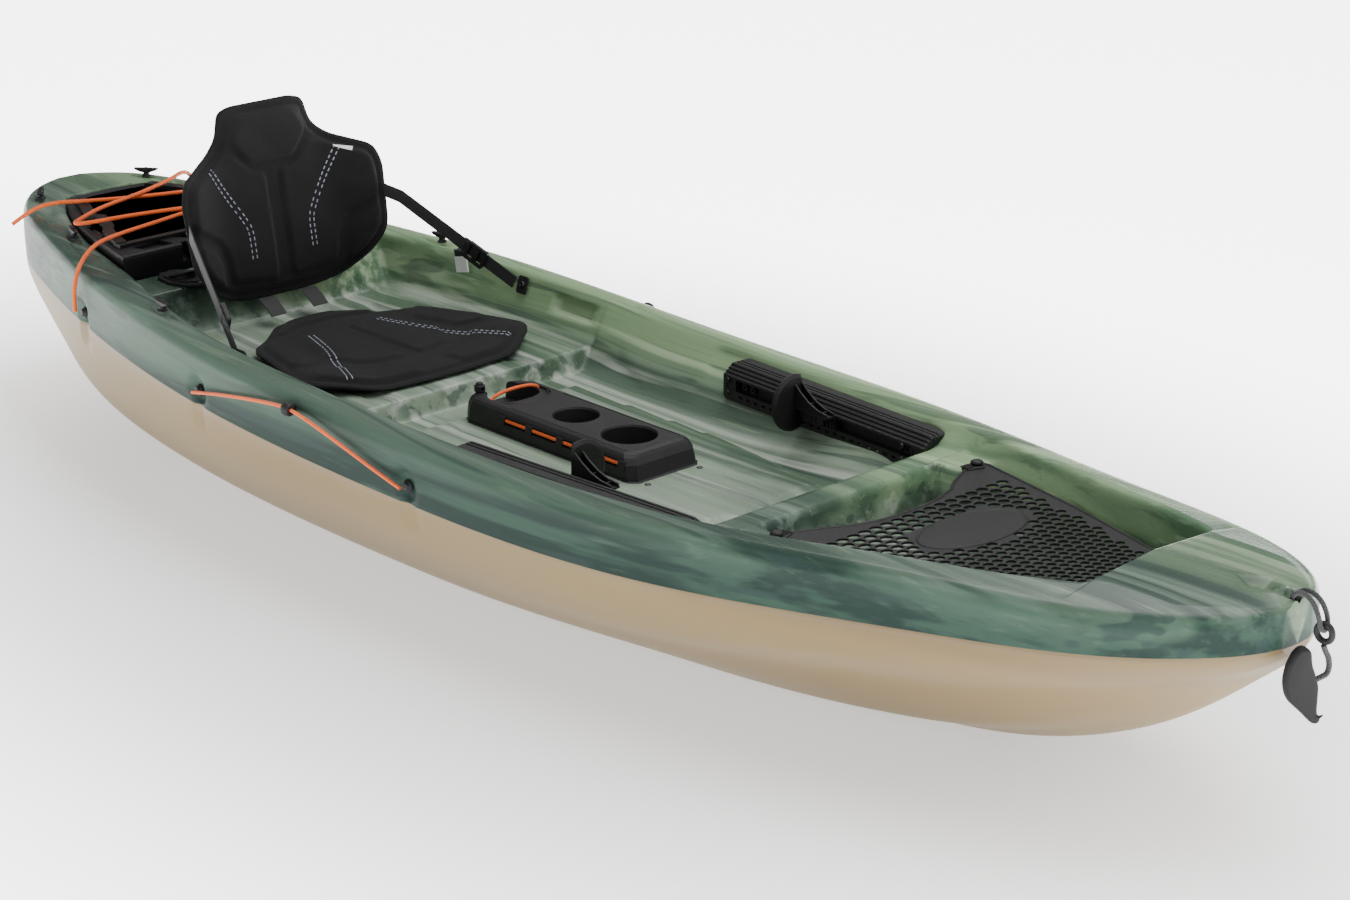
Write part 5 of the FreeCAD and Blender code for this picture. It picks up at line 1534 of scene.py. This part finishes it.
def base_form(x, y, out):
    """Where a place on the seat pad lies; its underside never goes below the seat's floor."""
    lift = 14 * ease(abs(y), 110, 240) - 4 * ease(-x, 600, 690)
    return (x, y, max(BASE_LOW, BASE_LOW + 6.4 + lift * (1 if out > -1.3 else 0.75) + out))


base_half = [(-282, 40), (-292, 150), (-356, 234), (-386, 248), (-590, 190), (-658, 112), (-706, 62), (-714, 30)]
crescent = [(-700, 44), (-672, 84), (-640, 110), (-628, 96), (-650, 50), (-656, 0), (-650, -50), (-628, -96),
            (-640, -110), (-672, -84), (-700, -44)]
side_pad = [(-598, 166), (-452, 214), (-428, 196), (-452, 150), (-560, 128)]
front_pad = [(-404, 218), (-360, 214), (-306, 142), (-300, 40), (-352, 34), (-372, 118), (-420, 150)]
middle_pad = [(-600, 12), (-600, 96), (-470, 128), (-400, 92), (-384, 12)]
base_panels = [crescent]
for panel in (side_pad, front_pad, middle_pad):
    base_panels += [panel, reflected(panel, 1, -1)]
base_pad = Pad(base_half + reflected(base_half, 1, -1), base_panels, 12, 10, 5.0, base_form, (-490, 0))
base_piece = shown("base_cushion", base_pad.mesh(5), "hull", CLOTH, ["seat_base"])
base_seam = ((-580, 74), (-500, 98), (-440, 126), (-330, 178))
seams("base_threads", "hull", base_pad, [[(x, sign * y) for x, y in base_seam] for sign in (1, -1)])

# ---------------------------------------------------------------- webbing


def band(bm, path, wide, thick, across):
    """A flat strap along a path in millimetres; across gives its breadth's heading."""
    across = Vector(across).normalized()
    rings = []
    for i, p in enumerate(path):
        p = Vector(p)
        run = (Vector(path[min(i + 1, len(path) - 1)]) - Vector(path[max(i - 1, 0)])).normalized()
        breadth = (across - run * across.dot(run)).normalized()
        up = run.cross(breadth)
        w, t = wide / 2, thick / 2
        rings.append([p + breadth * a * w + up * b * t for a, b in
                      ((-1, 0), (-0.94, 1), (0.94, 1), (1, 0), (0.94, -1), (-0.94, -1))])
    return joined(bm, cup(rings))


def curved(points, steps=6):
    """A path with its corners drawn round."""
    points = [Vector(p) for p in points]
    smooth = [points[0]]
    for before, point, after in zip(points, points[1:], points[2:]):
        a, b = (before + point) / 2, (point + after) / 2
        smooth += [arc(a, point, b, k / steps) for k in range(steps + 1)]
    smooth.append(points[-1])
    return smooth


# the strap runs from an anchor on the well's wall to the wing of the seat's back
ANCHOR_X, ANCHOR_Z, STRAP_WIDE = -455, 303, 25
WING = (BACK @ (Vector((46, 220.7, 150)) * MM)) / MM
slope_out = (well_half(ANCHOR_X, ANCHOR_Z + 1) - well_half(ANCHOR_X, ANCHOR_Z - 1)) / 2
WALL_NORMAL = Vector((0, -1, slope_out)).normalized()
ANCHOR = Vector((ANCHOR_X, well_half(ANCHOR_X, ANCHOR_Z), ANCHOR_Z)) + WALL_NORMAL * 1.1
START = ANCHOR + WALL_NORMAL * 3 + Vector((-20, 0, 0))
RUN = (WING - START).normalized()
LEAF = Vector((0, 0, 1)).cross(RUN).normalized()
BREADTH = RUN.cross(LEAF)
LADDER = 0.3  # share of the strap's run at which its buckle is


def on_strap(share):
    """A place on the straight run of the port strap."""
    return START + (WING - START) * share


def side_of(p, sign):
    """A port place, or its starboard twin."""
    return Vector((p[0], sign * p[1], p[2]))


for name, sign in SIDES:
    bm = bmesh.new()
    path = [on_strap(share) for share in (0, 0.12, LADDER, 0.5, 0.75, 0.92)]
    path += [Vector(back_form(205, 158, -11)), Vector(back_form(186, 166, -12))]
    band(bm, [side_of(p, sign) for p in path], STRAP_WIDE, 2.0, side_of(BREADTH, sign))
    between = ("hull", "seat_back", *(tuple(side_of(on_strap(share), sign) * MM) for share in (0.12, 0.95)))
    shown("back_strap_" + name, bm, between, STRAP, ["seat_strap_" + name], False)

tail = bmesh.new()
ladder = on_strap(LADDER)
route = [ladder + RUN * ahead + LEAF * out + Vector((0, 0, down)) for ahead, out, down in
         ((-8, -3.2, 0), (20, -5, 0), (44, -15, -8), (58, -22, -34), (52, -20, -60))]
path = curved(route)
band(tail, path, STRAP_WIDE, 1.8, BREADTH)
shown("strap_tail", tail, "hull", STRAP, (), False)
label = bmesh.new()
end = path[-1] + (path[-1] - path[-3]).normalized() * 10
band(label, [path[-3], end], STRAP_WIDE + 2.5, 4.0, BREADTH)
shown("strap_tag", label, "hull", LABEL, (), False)

for name, sign in SIDES:
    bm = prism([(-22, -15), (-19, -18), (19, -18), (22, -15), (22, 15), (19, 18), (-19, 18), (-22, 15)], -3.5, 3.5,
               "XZ")
    bm = carved(bm, prism([(-16, -13), (-5, -13), (-5, 13), (-16, 13)], -6, 6, "XZ"),
                prism([(5, -13), (16, -13), (16, 13), (5, 13)], -6, 6, "XZ"))
    joined(bm, rod((0, -3.2, -12.4), (0, -3.2, 12.4), 3.4, 12))
    joined(bm, prism([(16, -13), (30, -9), (30, 9), (16, 13)], -5.6, -1.6, "XZ"))
    turn = Matrix((RUN, LEAF, BREADTH)).transposed().to_4x4()
    moved(bm, Matrix.Translation((on_strap(LADDER) + LEAF * 4.8) * MM) @ turn)
    hard("ladder_lock_" + name, for_side(bm, sign), "hull", TUB, ["strap_buckle_" + name], 0.0008, 34)

# the anchor plates face the well and stand square to the boat
plates, rivets = bmesh.new(), bmesh.new()
loose = facing(ANCHOR, WALL_NORMAL).to_3x3()
spin = math.degrees(math.atan2((loose @ Vector((0, 1, 0))).x, (loose @ Vector((1, 0, 0))).x))
turn = facing(ANCHOR, WALL_NORMAL, spin)
for sign in (1, -1):
    base = prism([(-13, -13), (-10, -16), (10, -16), (13, -13), (13, 13), (10, 16), (-10, 16), (-13, 13)], 0, 3)
    joined(plates, for_side(moved(base, turn), sign))
    rivet = turned([(0, 3.2), (7, 3.2), (7.2, 4.0), (6.2, 5.4), (3.4, 6.2), (2.6, 5.2), (0, 5.0)], 26)
    joined(rivets, for_side(moved(rivet, turn), sign))
hard("anchor_plates", plates, "hull", BLACK, ["strap_anchors"], 0.0007, 34)
shown("anchor_rivet_heads", rivets, "hull", STEEL, ["anchor_rivets"])

hinges = bmesh.new()
for y in (-46, 46):
    low = Vector((-711, y, 264.3))
    high = (BACK @ (Vector((-5, y, -1.2)) * MM)) / MM
    band(hinges, [low, low * 0.5 + high * 0.5 + Vector((2, 0, 1)), high], 34, 2, (0, 1, 0))
shown("hinge_bands", hinges, ("hull", "seat_back", (-0.7115, 0, 0.2643), (-0.746, 0, 0.289)), STRAP,
      ["seat_hinge_straps"], False)

# ---------------------------------------------------------------- bow handle

HX, HZ = 1500, 333  # middle of the ring that the grip hangs from
strand = [(HX - 54, 5, HZ + 9), (HX - 53, 5, HZ + 37), (HX - 37, 6, HZ + 49), (HX - 16, 8, HZ + 42),
          (HX - 4, 9, HZ + 23), (HX - 1, 8, HZ + 7)]
bow_loop = [(x, -y, z) for x, y, z in strand] + [(HX, 0, HZ + 1.9)] + strand[::-1]
LOOP_LONG, HANG_LONG = 0.225, 0.060  # metres of cord between its ends
braided("bow_loop", bow_loop, 3.5, GREY, "hull", ["bow_cord"], LOOP_LONG)
ring = turned([(12 + 4.5 * math.cos(a), 4.5 * math.sin(a)) for a in [2 * math.pi * k / 16 for k in range(17)]], 44)
moved(ring, placed(HX, 0, HZ) @ Matrix.Rotation(math.pi / 2, 4, "X"))
shown("handle_ring", ring, "bow_handle", TUB, ["bow_ring"])
TURN = Matrix.Rotation(math.radians(65), 4, "Z")
hang = [(0, -17.4), (2.5, -25), (9, -36), (11, -50), (8, -59.5), (1.4, -61.9), (-7.1, -64.8)]


def in_grip(along, out, up):
    """A place in the grip's own plane, which hangs turned about its ring."""
    return Vector((HX, 0, HZ)) + TURN @ Vector((along, out, up))


braided("handle_loop", [in_grip(u, 0, z) for u, z in hang], 4.0, GREY, "bow_handle",
        ["bow_handle_cord"], HANG_LONG)
grip = [(-27, -15), (-35, -15), (-43, -21), (-52, -38), (-56, -62), (-50, -87), (-27, -109), (-11, -126),
        (-3, -127), (1, -121), (-5, -111), (-5, -72), (-11, -55), (-17, -40), (-19, -22)]
loop = resampled(filleted(grip, 12, 5), 120)
heart, rings = Vector((-27, -66)), []
quarter = [(0.80, 8.0), (0.90, 7.4), (0.97, 5.4), (1.0, 2.4)]
for share, out in quarter + [(share, -out) for share, out in reversed(quarter)]:
    ring_points = []
    for i, p in enumerate(loop):
        run = (loop[(i + 1) % len(loop)] - loop[i - 1]).normalized()
        normal = Vector((run.y, -run.x))
        if normal.dot(p - heart) < 0:
            normal = -normal
        q = p - normal * (1 - share) * 24
        ring_points.append(in_grip(q.x, out, q.y))
    rings.append(ring_points)
shown("grip", cup(rings), "bow_handle", GRIP, ["bow_handle"])

# ---------------------------------------------------------------- studio

FLOOR = Finish("studio_floor", (0.8, 0.8, 0.8), 0.95, Specular_IOR_Level=0.1, Emission_Strength=5.5)
along, across, _ = FLOOR.parts(FLOOR.place())
# the floor glows as a bright backdrop, dimmed near the boat into a painted shadow pool
away = ((along / 2.1) ** 2 + (across / 1.2) ** 2) ** 0.5
glow = 0.14 + away.step(0.45, 1.5) * 0.86
FLOOR.glow(FLOOR.point(glow, glow, glow))
floor = bmesh.new()
bmesh.ops.create_grid(floor, x_segments=2, y_segments=2, size=30)
floor_mesh = bpy.data.meshes.new("studio_floor")
floor.to_mesh(floor_mesh)
floor.free()
floor_thing = bpy.data.objects.new("studio_floor", floor_mesh)
floor_thing.data.materials.append(FLOOR.material)
SCENE.collection.objects.link(floor_thing)


def lamp(name, spot, aim, size, power):
    """A soft box that shines from a place at another, in metres and watts."""
    data = bpy.data.lights.new(name, "AREA")
    data.shape, data.size, data.size_y, data.energy = "RECTANGLE", size[0], size[1], power
    thing = bpy.data.objects.new(name, data)
    thing.location = spot
    thing.rotation_euler = (Vector(aim) - Vector(spot)).to_track_quat("-Z", "Y").to_euler()
    SCENE.collection.objects.link(thing)


lamp("top_box", (0.3, 0.9, 3.4), (0, 0, 0.2), (4.6, 2.2), 150)
lamp("bow_box", (3.6, 0.8, 2.2), (0.4, 0, 0.2), (2.0, 1.6), 30)
lamp("near_box", (0.2, -4.2, 2.4), (0, 0, 0.1), (4.0, 1.2), 34)
world = bpy.data.worlds.new("studio")
SCENE.world = world
world.use_nodes = True
background = world.node_tree.nodes["Background"].inputs
background["Color"].default_value = (1.0, 1.0, 1.0, 1.0)
background["Strength"].default_value = 0.28
